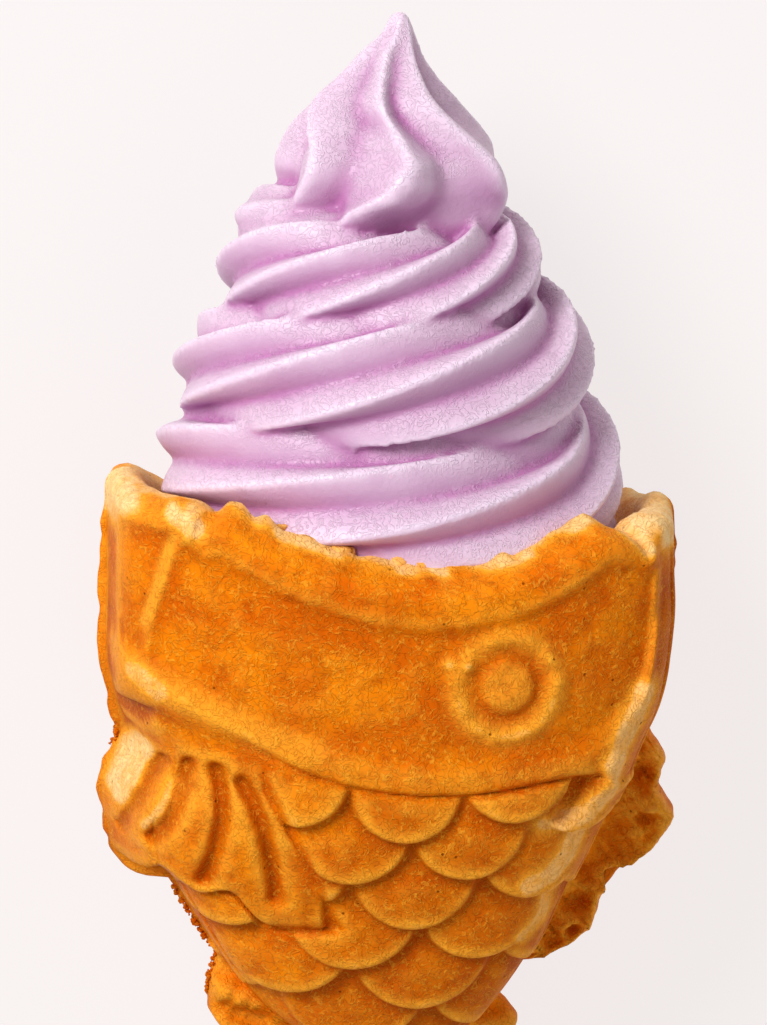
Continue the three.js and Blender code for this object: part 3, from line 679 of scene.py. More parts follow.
def pocket_ring(columns):
    """x and height of the pocket's mouth, a rounded box (|x / a|^2.8 + |z / b|^2.2 = 1), column by column."""
    on_left, on_body, on_right = columns
    near = 0.05
    turn = np.concatenate([
        near * np.linspace(0, 1, on_left, endpoint=False),
        near + (np.pi - 2 * near) * np.linspace(0, 1, on_body + 1),
        np.pi - near + near * np.arange(1, on_right + 1) / on_right,
    ])
    height = POCKET_DEPTH * np.clip(1 - np.abs(np.cos(turn)) ** WIDTH_POWER, 0, 1) ** (1 / DEPTH_POWER)
    return -POCKET_WIDTH * np.cos(turn), height


def inner_rows(x, y, height, columns, seed):
    """Grid rows of the lip and the pocket, given the first outer row. The lip is a half circle in the
    direction of the pocket's wall, and the pocket closes by a quarter circle over its last part."""
    ring_x, ring_height = pocket_ring(columns)
    roll = np.linspace(0, np.pi, LIP_ROWS + 1)[1:, None]
    share = (1 - np.cos(roll)) / 2
    lip_x = x + (ring_x - x) * share
    lip_height = height + (ring_height - height) * share
    coarse, fine, bits, waves = (
        grain(lip_x, lip_height, length, seed + i) for i, length in enumerate((2.6, 1.3, 1.9, 4.5))
    )
    tear = 0.30 * coarse + 0.15 * fine
    torn_edge = 2.1 + 0.60 * bits + 0.5 * waves
    torn_edge = torn_edge * bump(share - 0.70, 0.20) * (1 - step(29, 33, np.abs(x)))
    lip_y = y + LIP_ROUND * np.sin(roll) + tear * np.sin(roll) ** 2 + torn_edge
    down = np.linspace(0, 1, POCKET_ROWS + 1)[1:, None]
    close = np.clip((down - 0.45) / 0.55, 0, 1) * np.pi / 2
    fall = np.where(down < 0.45, down / 0.45 * 0.55, 0.55 + 0.45 * np.sin(close))
    narrow = np.cos(close) * (1 - 0.10 * fall)
    pocket_y = y + (POCKET_FLOOR - y) * fall
    return (
        np.concatenate([(ring_x * narrow)[::-1], lip_x[::-1]]),
        np.concatenate([pocket_y[::-1], lip_y[::-1]]),
        np.concatenate([(ring_height * narrow)[::-1], lip_height[::-1]]),
    )


def whole_half(x, y, height, columns, seed):
    """Pocket, lip and outer rows of one half, from the pocket's floor to the tail."""
    inner = inner_rows(x[0], y[0], height[0], columns, seed)
    return [np.concatenate([a, b]) for a, b in zip(inner, (x, y, height))]


front = whole_half(front_x, front_y, front_height, FRONT_COLUMNS, 41)
back = whole_half(back_x, back_y, back_height, BACK_COLUMNS, 51)
print("rows in all:", front[0].shape[0])

# %% [markdown]
# ## From grid to faces
# The two halves share their seam columns, so one ring of the skin is the front's columns and then the
# back's, backwards and without their ends. Between two rings lies a belt of four-sided faces. The thin edge
# of the tail is closed by a strip that zips the two halves together, like lacing between two rows of
# eyelets. Bridging the edge loops in Blender's editor would do the same, but here it stays a rule that can
# be run again.

# %% Faces of rings


def ring_grid(halves):
    """Rows of closed rings from a front and a back half."""
    (fx, fy, fz), (bx, by, bz) = halves
    joined = [np.concatenate([f, b[:, -2:0:-1]], axis=1) for f, b in ((fx, bx), (fy, by), (fz, -bz))]
    return np.stack(joined, axis=-1)


def ring_faces(rows, columns, first=0):
    """Four-sided faces between neighbouring rings."""
    i = np.arange(rows - 1)[:, None] * columns + first
    j = np.arange(columns)[None]
    k = (j + 1) % columns
    return np.stack([i + j, i + k, i + columns + k, i + columns + j], axis=-1).reshape(-1, 4)


def zip_faces(top, bottom):
    """Triangles between two chains of point numbers that share both ends, taking a step along whichever
    chain is behind."""
    top_end, bottom_end = len(top) - 1, len(bottom) - 1
    place = np.concatenate([np.arange(1, len(top)) / top_end, np.arange(1, len(bottom)) / bottom_end])
    is_top = np.repeat([True, False], [top_end, bottom_end])[np.argsort(place, kind="stable")]
    i, j = np.cumsum(is_top) - is_top, np.cumsum(~is_top) - ~is_top
    next_point = np.where(is_top, top[np.minimum(i + 1, top_end)], bottom[np.minimum(j + 1, bottom_end)])
    faces = np.stack([top[i], next_point, bottom[j]], axis=-1)
    sorted_faces = np.sort(faces, axis=1)
    return faces[(np.diff(sorted_faces, axis=1) > 0).all(axis=1)]


print("faces of two rings of four:", len(ring_faces(2, 4)))

# %% [markdown]
# ## From faces to objects
# Blender takes points, corners and faces as flat lists of numbers. Given whole arrays by foreach_set, even a
# large mesh is there in a moment, which a loop over its points would not manage. The object stays at the
# origin, and its place is in its points. A number for each point can be stored beside them for the material
# to read.

# %% Mesh tools


def make_piece(name, points, quads, triangles=()):
    """Smooth-shaded mesh object in the CAD frame from points in the fish's millimetres."""
    triangles = np.asarray(triangles, np.int64).reshape(-1, 3)
    quads = np.asarray(quads, np.int64).reshape(-1, 4)
    mesh = bpy.data.meshes.new(name)
    mesh.vertices.add(len(points))
    mesh.vertices.foreach_set("co", ((points + SHIFT) * MM).astype(np.float32).ravel())
    mesh.loops.add(quads.size + triangles.size)
    corners = np.concatenate([quads.ravel(), triangles.ravel()])
    mesh.loops.foreach_set("vertex_index", corners.astype(np.int32))
    mesh.polygons.add(len(quads) + len(triangles))
    starts = np.concatenate([np.arange(len(quads)) * 4, quads.size + np.arange(len(triangles)) * 3])
    mesh.polygons.foreach_set("loop_start", starts.astype(np.int32))
    mesh.update(calc_edges=True)
    mesh.validate()
    mesh.polygons.foreach_set("use_smooth", np.ones(len(mesh.polygons), bool))
    made = bpy.data.objects.new(name, mesh)
    bpy.context.scene.collection.objects.link(made)
    print(name, "has", len(points), "points and", 2 * len(quads) + len(triangles), "triangles")
    return made


def join_parts(parts):
    """Points, quads and triangles of several parts as one, whose point numbers go on from part to part."""
    first = np.cumsum([0] + [len(points) for points, _, _ in parts[:-1]])
    points = np.concatenate([part[0] for part in parts])
    quads, triangles = (np.concatenate([part[k] + n for part, n in zip(parts, first)]) for k in (1, 2))
    return points, quads, triangles


def give_attribute(made, name, values):
    """Stores one number per point for the material to read."""
    attribute = made.data.attributes.new(name, "FLOAT", "POINT")
    attribute.data.foreach_set("value", np.asarray(values, np.float32).ravel())


print("mesh tools are ready")

# %% [markdown]
# ## The crust's skin
# All rows together are one long tube of rings, from the pocket's floor over the lip to the tail. A fan to
# one point closes the floor, and the zipped strip closes the tail, so the skin is watertight, as a real
# crust is a solid thing. It is the visible piece that takes the place of the CAD model's crust.

# %% Crust
grid = ring_grid((front, back))
rows, columns = grid.shape[0] - 1, grid.shape[1]
floor_point = np.array([[0, grid[0, :, 1].mean(), 0]])
crust_points = np.concatenate([grid[1:].reshape(-1, 3), floor_point])
ring = np.arange(columns)
floor_fan = np.stack([np.full(columns, rows * columns), (ring + 1) % columns, ring], axis=-1)
last = (rows - 1) * columns
front_count = front[0].shape[1]
front_chain = last + np.arange(front_count)
back_chain = last + np.concatenate([[0], np.arange(columns - 1, front_count - 1, -1), [front_count - 1]])
closing = np.concatenate([floor_fan, zip_faces(front_chain, back_chain)])
crust = make_piece("fish_crust", crust_points, ring_faces(rows, columns), closing)

# %% [markdown]
# ## Pale ridges
# The iron browns what it touches. Ridges that stood in the deepest cuts of the mould, torn edges and the
# seam stay pale. They could be painted on by hand in texture paint mode. Here each ridge is a line of points
# with a width and a strength, because the same lines are ridges of the relief. What stands out of its
# surroundings is found by comparing the height with its own mean over a small square.

# %% Pale strokes
PALE_STROKES = [  # points along the stroke, half width, strength
    ([(-45.0, 1.6), (-44.4, 4.6), (-41.4, 6.4)], 2.6, 1.0),
    ([(-34.6, 5.2), (-33.2, 4.0), (-31.4, 3.4)], 1.5, 0.9),
    ([(-34.6, 2.3), (-36.9, -5.3), (-38.9, -11.9)], 0.7, 0.45),
    ([(-40.6, -19.2), (-38.9, -20.4), (-37.4, -21.4)], 1.9, 0.70),
    ([(-36.5, -21.4), (-28.5, -24.4), (-21.1, -27.7), (-14.5, -30.1)], 2.0, 0.34),
    ([(-38.9, -34.0), (-40.3, -36.6), (-41.6, -39.6), (-42.8, -42.6)], 1.9, 0.90),
    ([(-34.6, -37.2), (-35.8, -39.8), (-37.4, -42.6), (-39.0, -44.7)], 1.2, 0.75),
    ([(35.5, 1.0), (38.4, 2.4), (41.0, 2.0), (40.5, -1.5)], 2.6, 1.0),
    ([(31.8, 1.7), (33.9, 0.1), (36.0, -2.3)], 1.3, 0.85),
    ([(37.5, -6.1), (36.9, -15.7), (35.8, -23.1)], 0.8, 0.26),
    ([(35.6, -24.2), (34.4, -27.0), (32.6, -30.6), (31.0, -34.6)], 2.3, 0.74),
    ([(30.9, -34.6), (30.7, -37.3), (29.8, -39.9), (27.2, -42.3), (23.6, -43.2), (20.6, -43.2)], 2.1, 0.70),
    ([(25.6, -46.4), (24.4, -49.6), (21.6, -52.6), (18.4, -53.7)], 2.2, 0.70),
    ([(22.2, -56.4), (20.9, -61.4), (18.0, -63.8)], 1.6, 0.62),
]
HOLLOW_STROKE = [(28.2, -37.0), (25.0, -38.2), (21.0, -40.9)]  # the shadowed hollow beside the right lobe


def blurred(field, reach):
    """Mean over a square of 2 reach + 1 points, by running sums along both directions."""
    for axis in (0, 1):
        padded = np.pad(field, [(reach + 1, reach) if a == axis else (0, 0) for a in (0, 1)], mode="edge")
        total = np.cumsum(padded, axis=axis)
        size = 2 * reach + 1
        upper, lower = (total[size:], total[:-size]) if axis == 0 else (total[:, size:], total[:, :-size])
        field = (upper - lower) / size
    return field


def stroke_mask(x, y):
    """1 along the pale strokes and 0 away from them."""
    found = np.zeros(np.shape(x))
    for points, width, strength in PALE_STROKES:
        found = np.maximum(found, strength * np.minimum(1.4 * bump(line_distance(x, y, points), width), 1))
    return found


print("pale on the thumb:", stroke_mask(-40.3, -36.6).round(2))

# %% [markdown]
# ## Pale, toasted-and-shaded and fin masks
# The middles of the scales and the face turn brown from toasting. Painted shade darkens the recess above the
# thumb, the hollow by the right lobe, the right wall and the right of the face. What lies low, the grooves
# and the pad's foot are darker too. The fins are a thinner batter with a tone of their own. The colours
# themselves are mixed in the material, but where they go depends on the shape, so three masks are worked out
# from it here, each from 0 to 1.

# %% Named places


def place_masks(x, y, is_front):
    """Masks of three places: the recess above the thumb, the pad's grooves, the hollow by the right lobe."""
    above_thumb = -0.864 * (x + 37.5) + 0.503 * (y + 27.4)
    recess = step(-0.6, 0.8, above_thumb) * step(-34.5, -36.5, x) * step(-22.5, -25.0, y)
    groove = np.clip(groove_depth(x, y) / 2.6, 0, 1) * step(-31, -33, y) * is_front
    hollow = bump(line_distance(x, y, HOLLOW_STROKE), 1.3) * is_front
    return recess, groove, hollow


print("recess, groove and hollow at a finger's gap:", [v.round(2) for v in place_masks(-33.0, -40.0, True)])

# %% Pale mask


def pale_mask(x, y, height, proud, places, is_front):
    """Pale where a stroke runs, on the eye, on what stands proud away from the walls, and along the left
    seam; less in grooves and hollows."""
    recess, groove, hollow = places
    u = body_height(x, y)[1]
    away = np.hypot(x - EYE[0], y - EYE[1])
    ring = (0.36 + 0.20 * step(-19, -24, y)) * bump(away - EYE_RING, 1.6)
    nibs = sum(0.75 * bump(np.hypot(x - nib_x, y - nib_y), 1.0) for nib_x, nib_y in EYE_NIBS)
    eye = np.maximum(ring + 0.34 * step(4.6, 2.8, away), nibs) * is_front
    stroke = np.maximum(stroke_mask(x, y) * (1.0 if is_front else 0.6) * (1 - recess), eye)
    at_wall = step(0.70, 0.78, u) * step(-30, -24, y) + 0.3 * step(-0.84, -0.90, u)
    pale = np.maximum(stroke, 0.5 * np.clip(proud / 0.7, 0, 1) * (1 - 0.9 * at_wall))
    seam = bump(height - 1.8, 1.2) * step(-2, -6, y) * (x < 0)
    pale = np.maximum(pale, 0.5 * seam * (0.6 + 0.4 * grain(x, y, 3.0, 71)))
    return np.clip(pale * (1 - 0.8 * groove) * (1 - hollow), 0, 1)


print("pale on the eye:", pale_mask(*EYE, 33.0, 0.0, (0, 0, 0), True).round(2))

# %% Fin and brown masks


def fin_mask(x, y):
    """1 on the fins of the right side, 0.4 on the flash of the left seam."""
    body, u = body_height(x, y)
    right = step(0.2, -1.2, body - 6.0) * (1 - step(-34, -30, y)) * (x > 0)
    return np.clip(right + 0.4 * (x < 0) * step(1.0, 1.02, np.abs(u)), 0, 1)


def toast_and_shade_mask(x, y, proud, places, fin):
    """Darker in what lies low, in the grooves and at the pad's foot; toasted on the scales and on the face;
    painted shade on the right wall, in the recess, in the hollow and over the right of the face; less on
    fins."""
    recess, groove, hollow = places
    u, rim_y = body_height(x, y)[1], front_rim(x)
    # Painted shade on the right wall.
    wall = step(0.80, 0.86, u) * step(-30, -26, y) * step(2, -4, y)
    foot = step(-50.5, -53.0, y) * step(-62, -60, y) * step(-34.5, -37, x)
    # Darker where the skin lies low and at the pad's foot; the recess above the thumb gets painted shade.
    toast_and_shade = np.clip(-proud / 0.9, 0, 1) * 0.6 + 0.36 * wall + 0.62 * recess + 0.5 * foot
    below_gill = step(1, -2, y - gill_edge(x))
    scales = below_gill * (0.67 + 0.16 * grain(x, y, 7.0, 73)) * (1 - 0.94 * step(-4, -19, x))
    # The face is toasted, and darker still towards its right, which is painted shade.
    face = (0.17 + 0.22 * step(-8, 16, x)) * step(-40, -34, y) * step(rim_y - 4, rim_y - 12, y)
    # Darker in the grooves; the hollow by the right lobe gets painted shade.
    toast_and_shade = toast_and_shade + 0.45 * groove + 0.8 * hollow + (scales + face)
    return np.clip(toast_and_shade * (1 - 0.60 * fin), 0, 1)


print("brown on a scale:", toast_and_shade_mask(8.0, -60.0, 0.0, (0, 0, 0), 0).round(2))

# %% Masks of both halves


def masks(x, y, height, is_front):
    """Pale, toasted-and-shaded and fin masks of one half's outer rows."""
    proud = height - blurred(height, 5)
    places, fin = place_masks(x, y, is_front), fin_mask(x, y)
    return pale_mask(x, y, height, proud, places, is_front), toast_and_shade_mask(x, y, proud, places, fin), fin


front_masks = masks(front_x, front_y, front_height, True)
back_masks = masks(back_x, back_y, back_height, False)
print("front masks' means:", [mask.mean().round(2) for mask in front_masks])

# %% [markdown]
# ## Masks on the crust
# The masks of the two halves are put in the order of the crust's points. On the lip they change to the
# values of torn batter, which the iron never touched, along a slightly wandering line. They are stored as
# attributes, because an attribute moves with its point, where a pattern in space would have to be fitted to
# the shape.

# %% Masks on the crust
MASK_NAMES = ("pale", "toast_and_shade", "fin")
TORN = (0.85, 0.10, 0.0)  # their values on torn batter


def ring_mask(front_mask, back_mask, torn):
    """Masks of both halves as one number per crust point. The lip changes from the first outer row's value
    to that of the torn inner side."""
    inner_count = rows - front_mask.shape[0]
    joined = np.concatenate([front_mask, back_mask[:, -2:0:-1]], axis=1)
    down = np.arange(inner_count)[::-1, None] / LIP_ROWS
    wander = 0.10 * grain(np.arange(columns), np.zeros(columns), 5.0, 91)
    inside = step(0.35, 0.46, down + wander)
    inner = joined[:1] * (1 - inside) + torn * inside
    return np.concatenate([inner, joined]).ravel()


crust_x, crust_y = crust_points[:, 0], crust_points[:, 1]
for name, front_mask, back_mask, torn in zip(MASK_NAMES, front_masks, back_masks, TORN):
    values = np.append(ring_mask(front_mask, back_mask, torn), 0.0)
    if name == "pale":
        values = np.maximum(values, stroke_mask(crust_x, crust_y) * (crust_y > -8))
    give_attribute(crust, name, values)
    print(name, "mean", values.mean().round(3))

# %% [markdown]
# ## Building materials from nodes
# Both finishes are made of nodes only: noises give the mottling, and the masks say where each tone goes.
# Painted pictures could do that too, but nodes stay sharp at any distance and change with one number. A few
# short helpers keep the node trees readable. A socket that gets another node's output is linked, and any
# other value is set straight on the socket.

# %% Node helpers


def new_material(name):
    """New node material: the material, its tree and its Principled shader."""
    made = bpy.data.materials.new(name)
    made.use_nodes = True
    return made, made.node_tree, made.node_tree.nodes["Principled BSDF"]


def put(tree, kind, inputs, **settings):
    """Adds a node, makes its settings, and links or fills its inputs by name or number."""
    made = tree.nodes.new("ShaderNode" + kind)
    for key, value in settings.items():
        setattr(made, key, value)
    for key, value in inputs.items():
        if isinstance(value, bpy.types.NodeSocket):
            tree.links.new(value, made.inputs[key])
        else:
            made.inputs[key].default_value = value
    return made


def noise(tree, place, scale, detail=2.0, distortion=0.0):
    """Noise value; scale is per metre, so 500 gives spots about 2 mm wide."""
    inputs = {"Vector": place, "Scale": scale, "Detail": detail, "Distortion": distortion}
    return put(tree, "TexNoise", inputs).outputs[0]


def spread(tree, value, low, high, out_low=0.0, out_high=1.0):
    """Maps low..high to out_low..out_high and stops there."""
    return put(tree, "MapRange", {0: value, 1: low, 2: high, 3: out_low, 4: out_high}).outputs[0]


def maths(tree, operation, a, b=0.0):
    """One arithmetic step."""
    return put(tree, "Math", {0: a, 1: b}, operation=operation).outputs[0]


def blend(tree, factor, a, b):
    """Colour a where factor is 0 and b where it is 1."""
    return put(tree, "Mix", {0: factor, 6: a, 7: b}, data_type="RGBA").outputs[2]


def squiggles(tree, place, scale, width, distortion=1.2):
    """Thin winding lines, where a noise crosses its middle value: 1 on the line and 0 off it."""
    value = noise(tree, place, scale, 1.0, distortion)
    off = maths(tree, "ABSOLUTE", maths(tree, "SUBTRACT", value, 0.5))
    return spread(tree, off, 0.0, width, 1.0, 0.0)


print("node helpers are ready")

# %% [markdown]
# ## Golden crust
# Griddled batter is a deep yellow-orange, almost without blue, that breaks up into darker and lighter
# patches. Its skin carries fine winding wrinkles with painted glints along them, and small dark pores. The
# masks add painted shade to the recess, the hollow, the right wall and the right of the face. Each tone could
# be a material of its own, but tones of batter flow into each other, so one material blends them one after
# the other. The same noises drive both colour and bump, so that a painted glint line is also a raised line.

# %% Crust patterns
# The toasted colour is also used for painted shade, and the glint colour is a painted highlight.
DEEP_ORANGE, GOLDEN = (0.70, 0.125, 0.0005, 1), (0.90, 0.24, 0.002, 1)
TOASTED_AND_SHADE, FIN_BROWN = (0.42, 0.062, 0.0005, 1), (0.93, 0.25, 0.005, 1)
YELLOW, CREAM = (0.95, 0.37, 0.025, 1), (0.97, 0.65, 0.28, 1)
GLINT, PORE = (0.97, 0.46, 0.035, 1), (0.16, 0.022, 0.001, 1)

crust_material, tree, shader = new_material("golden crust")
place = put(tree, "TexCoord", {}).outputs["Object"]
pale, toast_and_shade, fin = (put(tree, "Attribute", {}, attribute_name=name).outputs["Fac"] for name in MASK_NAMES)
patches = noise(tree, place, 110.0, 3.0)
spots = noise(tree, place, 430.0, 3.0)
lines = squiggles(tree, place, 700.0, 0.045)
shaded = put(tree, "VectorMath", {0: place, 1: (0.31, 0.17, 0.23)}, operation="ADD").outputs[0]
dark_lines = squiggles(tree, shaded, 640.0, 0.045)
pits = put(tree, "TexVoronoi", {"Vector": place, "Scale": 420.0})
pit = spread(tree, pits.outputs["Distance"], 0.04, 0.12, 1.0, 0.0)
chosen = put(tree, "SeparateColor", {0: pits.outputs["Color"]}).outputs[0]
pit = maths(tree, "MULTIPLY", pit, spread(tree, chosen, 0.74, 0.76))
print("crust patterns take", len(tree.nodes), "nodes")

# %% Crust colours
colour = blend(tree, spread(tree, patches, 0.38, 0.62), DEEP_ORANGE, GOLDEN)
colour = blend(tree, spread(tree, spots, 0.30, 0.48, 0.45, 0.0), colour, TOASTED_AND_SHADE)
colour = blend(tree, maths(tree, "MULTIPLY", fin, 0.7), colour, FIN_BROWN)
# Toasting, and painted shade in the recess, the hollow, on the right wall and over the right of the face.
colour = blend(tree, maths(tree, "MULTIPLY", toast_and_shade, 0.75), colour, TOASTED_AND_SHADE)
pale = maths(tree, "MULTIPLY", pale, spread(tree, spots, 0.30, 0.60, 0.80, 1.05))
colour = blend(tree, spread(tree, pale, 0.0, 0.55), colour, YELLOW)
colour = blend(tree, spread(tree, pale, 0.5, 1.0), colour, CREAM)
colour = blend(tree, maths(tree, "MULTIPLY", dark_lines, 0.28), colour, TOASTED_AND_SHADE)
# Painted glints along the winding lines.
colour = blend(tree, maths(tree, "MULTIPLY", lines, 0.38), colour, GLINT)
colour = blend(tree, maths(tree, "MULTIPLY", pit, 0.85), colour, PORE)
tree.links.new(colour, shader.inputs["Base Color"])
print("with its colours it has", len(tree.nodes), "nodes")

# %% Crust bump and gloss
height = maths(tree, "ADD", maths(tree, "MULTIPLY", lines, 0.35), maths(tree, "MULTIPLY", spots, 0.8))
height = maths(tree, "SUBTRACT", height, maths(tree, "MULTIPLY", pit, 0.9))
height = maths(tree, "SUBTRACT", height, maths(tree, "MULTIPLY", dark_lines, 0.3))
skin = put(tree, "Bump", {"Strength": 0.75, "Distance": 0.00035, "Height": height})
tree.links.new(skin.outputs["Normal"], shader.inputs["Normal"])
tree.links.new(spread(tree, patches, 0.3, 0.7, 0.56, 0.46), shader.inputs["Roughness"])
shader.inputs["IOR"].default_value = 1.2
shader.inputs["Specular IOR Level"].default_value = 0.15
crust.data.materials.append(crust_material)
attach(crust, "root")
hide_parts("fish_cone")
print("crust material has", len(tree.nodes), "nodes")

# %% [markdown]
# ## The rope of soft serve
# A star nozzle with six points gives a rope with six ribs. The rope is wound in a rising helix that gets
# narrower, and it turns about its own axis as it goes, so the ribs run steeply across each turn. A curve
# object with a star as its bevel would draw it too, but with one and the same section all along. As a
# surface of the turn and of the angle round its section, every turn has a place and a section of its own.

# %% Rope tables
ROPE = [  # turn, radius of its outer face, height of its middle, half height of its section
    [-1.5, 31, -16, 8], [-1.25, 33, -10, 9], [-1.0, 35.0, -8.0, 10], [-0.75, 35.0, -2.5, 10],
    [-0.5, 34.4, 2.5, 10], [-0.25, 36.6, 6.8, 10.8], [0, 36.6, 4.9, 10.6], [0.125, 36.4, 5.6, 10.4],
    [0.25, 36.0, 9.9, 10.2], [0.5, 34.8, 13.6, 10], [0.75, 33.8, 19.4, 10], [1.0, 32.4, 23.6, 10.8],
    [1.125, 31.7, 24.6, 10.6], [1.25, 30.8, 27.0, 10.2], [1.5, 28.8, 30.0, 9.8], [1.75, 26.8, 35.0, 10.2],
    [2.0, 25.2, 37.0, 8.8], [2.25, 23.2, 39.9, 8.0], [2.5, 22.2, 41.6, 6.6], [2.75, 24.0, 42.2, 5.8],
    [2.88, 19.0, 42.8, 4.6], [2.98, 12.0, 43.5, 3.0],
]
RIBS, RIB_DEPTH = 6, 3.5
RIB_SECTION = [  # share of the way up from one crest to the next, share of the depth
    [0, 0], [0.03, 0.08], [0.10, 0.26], [0.22, 0.58], [0.36, 0.93], [0.43, 1.0], [0.50, 0.93], [0.72, 0.54],
    [0.89, 0.22], [0.97, 0.06], [1.0, 0],
]
ROPE_HALF, ROPE_INWARD = 7.2, 11.5  # depth of the section outwards and inwards, where it meets the core
ROPE_TILT, TURN_SHARE = 0.075, 0.93  # how much lower turns are on their right, and how full their section is
SERVE_X = 0.3  # the swirl's axis stands this far right of the fish's
rope_radius, rope_height, rope_half = (curve(ROPE, column) for column in (1, 2, 3))
rib_section = curve(RIB_SECTION)
print("middle of the rope from y =", rope_height(ROPE[0][0]), "to", rope_height(ROPE[-1][0]), "mm")

# %% [markdown]
# ## The rope's surface
# Each rib has a broad hollow face on one side of its crest and a narrow full one on the other, as soft ice
# leaves a nozzle that turns. The ribs are shallow inside the pocket, where the turns are pressed together.

# %% Rope


def rope_surface(turn, psi):
    """Point of the rope's skin at a turn and at the angle psi round its section. The valleys between the ribs
    are taken off the section, and the twist grows a little faster than the turns."""
    around = 2 * np.pi * turn
    radius, half = rope_radius(turn), TURN_SHARE * rope_half(turn)
    middle = rope_height(turn) - ROPE_TILT * radius * np.sin(around)
    twist = np.radians(112 + 402.6 * turn + 31.4 * turn * turn)
    shallow = 0.12 + 0.88 * step(-0.85, -0.35, turn)
    shallow = shallow * np.minimum(half / 8.5, 1) * (1 - 0.6 * step(2.45, 2.70, turn))
    valley = RIB_DEPTH * shallow * rib_section(RIBS * (psi - twist) / (2 * np.pi) % 1)
    across = np.where(np.cos(psi) > 0, ROPE_HALF, ROPE_INWARD)
    away = radius - ROPE_HALF + (across - valley) * np.cos(psi) - 0.15 * half * np.sin(psi)
    up = middle + (half - valley) * np.sin(psi)
    squash = 0.88 + 0.12 * step(0, 2, turn)
    return np.stack([SERVE_X + away * np.sin(around), up, away * np.cos(around) * squash], axis=-1)


TURNS, ROUND = 830, 132
turn = np.linspace(ROPE[0][0], ROPE[-1][0], TURNS)[:, None] + np.zeros((1, ROUND))
psi = np.linspace(-np.pi, np.pi, ROUND, endpoint=False)[None] + np.zeros((TURNS, 1))
rope_points = rope_surface(turn, psi).reshape(-1, 3)
print("rope points:", len(rope_points))

# %% [markdown]
# ## The peak
# At the top the nozzle is lifted off and the six ribs are drawn to a tip in a slow twist. A cone with a
# Simple Deform twist would turn all ribs alike. Here three of them face the front, and each follows its own
# table of angles. The other three share the rest of the circle evenly.

# %% Peak tables
PEAK_RADIUS = [
    [38, 9], [40, 12.4], [42, 15.2], [43.5, 16.6], [45, 17.5], [46.6, 18.1], [48.1, 18.6], [49.5, 18.9],
    [51.1, 18.9], [52.6, 18.6], [54.1, 18.0], [55.6, 17.0], [57.1, 15.9], [58.5, 14.7], [60, 13.3],
    [61.5, 12.0], [63, 10.5], [64.5, 8.8], [65.9, 7.4], [67.4, 6.1], [68.9, 5.0], [70.4, 3.8], [71.9, 2.7],
    [73.0, 2.2], [74.0, 1.75], [74.6, 1.15], [74.85, 0.55], [74.9, 0.05],
]
MAIN_RIB = [
    [38, -72], [41, -56], [43, -44], [45.2, -34], [47.1, -28], [48.7, -18], [50.8, -7], [52.8, -2],
    [54.3, 2], [55.8, 4], [57.2, 4], [58.8, 2], [60.7, -2], [63.6, -7], [67.2, -12], [69, -13],
    [71.6, -7], [73.3, -2], [75, 0],
]
LEFT_RIB = [
    [38, -100], [41, -86], [45.1, -69], [49.1, -56], [52.8, -49], [55.9, -50], [58.4, -58], [60.6, -69],
    [64, -76], [70, -78], [75, -66],
]
RIGHT_RIB = [
    [38, 36], [41.1, 46], [42.9, 56], [46.9, 62], [50.6, 56], [54.9, 50], [58.9, 44], [63.9, 37],
    [68.8, 38], [73, 42], [75, 50],
]
LEFT_VALLEY = [
    [38, 0.5], [46, 0.62], [49, 0.46], [52, 0.38], [56.4, 0.42], [60, 0.60], [63.5, 0.58], [75, 0.44],
]
RIGHT_VALLEY = [
    [38, 0.44], [43.8, 0.44], [49, 0.54], [51, 0.53], [54, 0.5], [57, 0.37], [60, 0.27], [64, 0.33],
    [69, 0.42], [75, 0.44],
]
PEAK_LEAN = [  # y, x of the peak's axis
    [38, 0.3], [50, 0.4], [53.5, 0.3], [58.5, -0.8], [62.3, -1.3], [66, -0.6], [68.6, -0.1], [70.2, 0.5],
    [72, 1.2], [74.9, 1.4],
]
RIB_PROFILE = [
    [0, 1], [0.05, 0.94], [0.13, 0.74], [0.24, 0.42], [0.35, 0.10], [0.44, 0.0], [0.55, 0.08], [0.70, 0.28],
    [0.84, 0.56], [0.94, 0.84], [1.0, 1],
]
PROFILE_VALLEY, PEAK_FOOT = 0.44, 38  # where the profile has its valley, and the lowest level of the peak
peak_radius, peak_lean, rib_profile = curve(PEAK_RADIUS), curve(PEAK_LEAN), curve(RIB_PROFILE)
main_rib, left_rib, right_rib = curve(MAIN_RIB), curve(LEFT_RIB), curve(RIGHT_RIB)
left_valley, right_valley = curve(LEFT_VALLEY), curve(RIGHT_VALLEY)
print("peak's radius half way up:", peak_radius(56.5).round(1))

# %% [markdown]
# ## The peak's surface
# Between two ribs the surface dips to a valley that isn't always half way. To move it, the share of the way
# from one rib to the next is raised to a power that takes the wanted place to the profile's own valley. The
# levels crowd towards the tip, where the surface is most curved.

# %% Peak


def peak_surface(y, angle):
    """Point of the peak's skin at height y and angle in degrees, 0 to the front and 90 to the right."""
    left, main, right = left_rib(y), main_rib(y), right_rib(y)
    rest = (left + 360 - right) / 4
    crests = np.stack([left, main, right, right + rest, right + 2 * rest, right + 3 * rest, left + 360])
    angle = (angle - left) % 360 + left
    gap = np.clip((angle[None] >= crests[1:-1]).sum(axis=0), 0, 5)
    lower, upper = (np.take_along_axis(crests, (gap + k)[None], axis=0)[0] for k in (0, 1))
    valley = np.where(gap == 0, left_valley(y), np.where(gap == 1, right_valley(y), PROFILE_VALLEY))
    share = np.clip((angle - lower) / (upper - lower), 0, 1) ** (np.log(PROFILE_VALLEY) / np.log(valley))
    radius = peak_radius(y)
    depth = np.minimum(4.8, 0.36 * radius) * (0.7 + 0.3 * step(74, 58, y))
    away = radius - depth * (1 - rib_profile(share))
    turned = np.radians(angle)
    return np.stack([peak_lean(y) + away * np.sin(turned), y, away * np.cos(turned)], axis=-1)


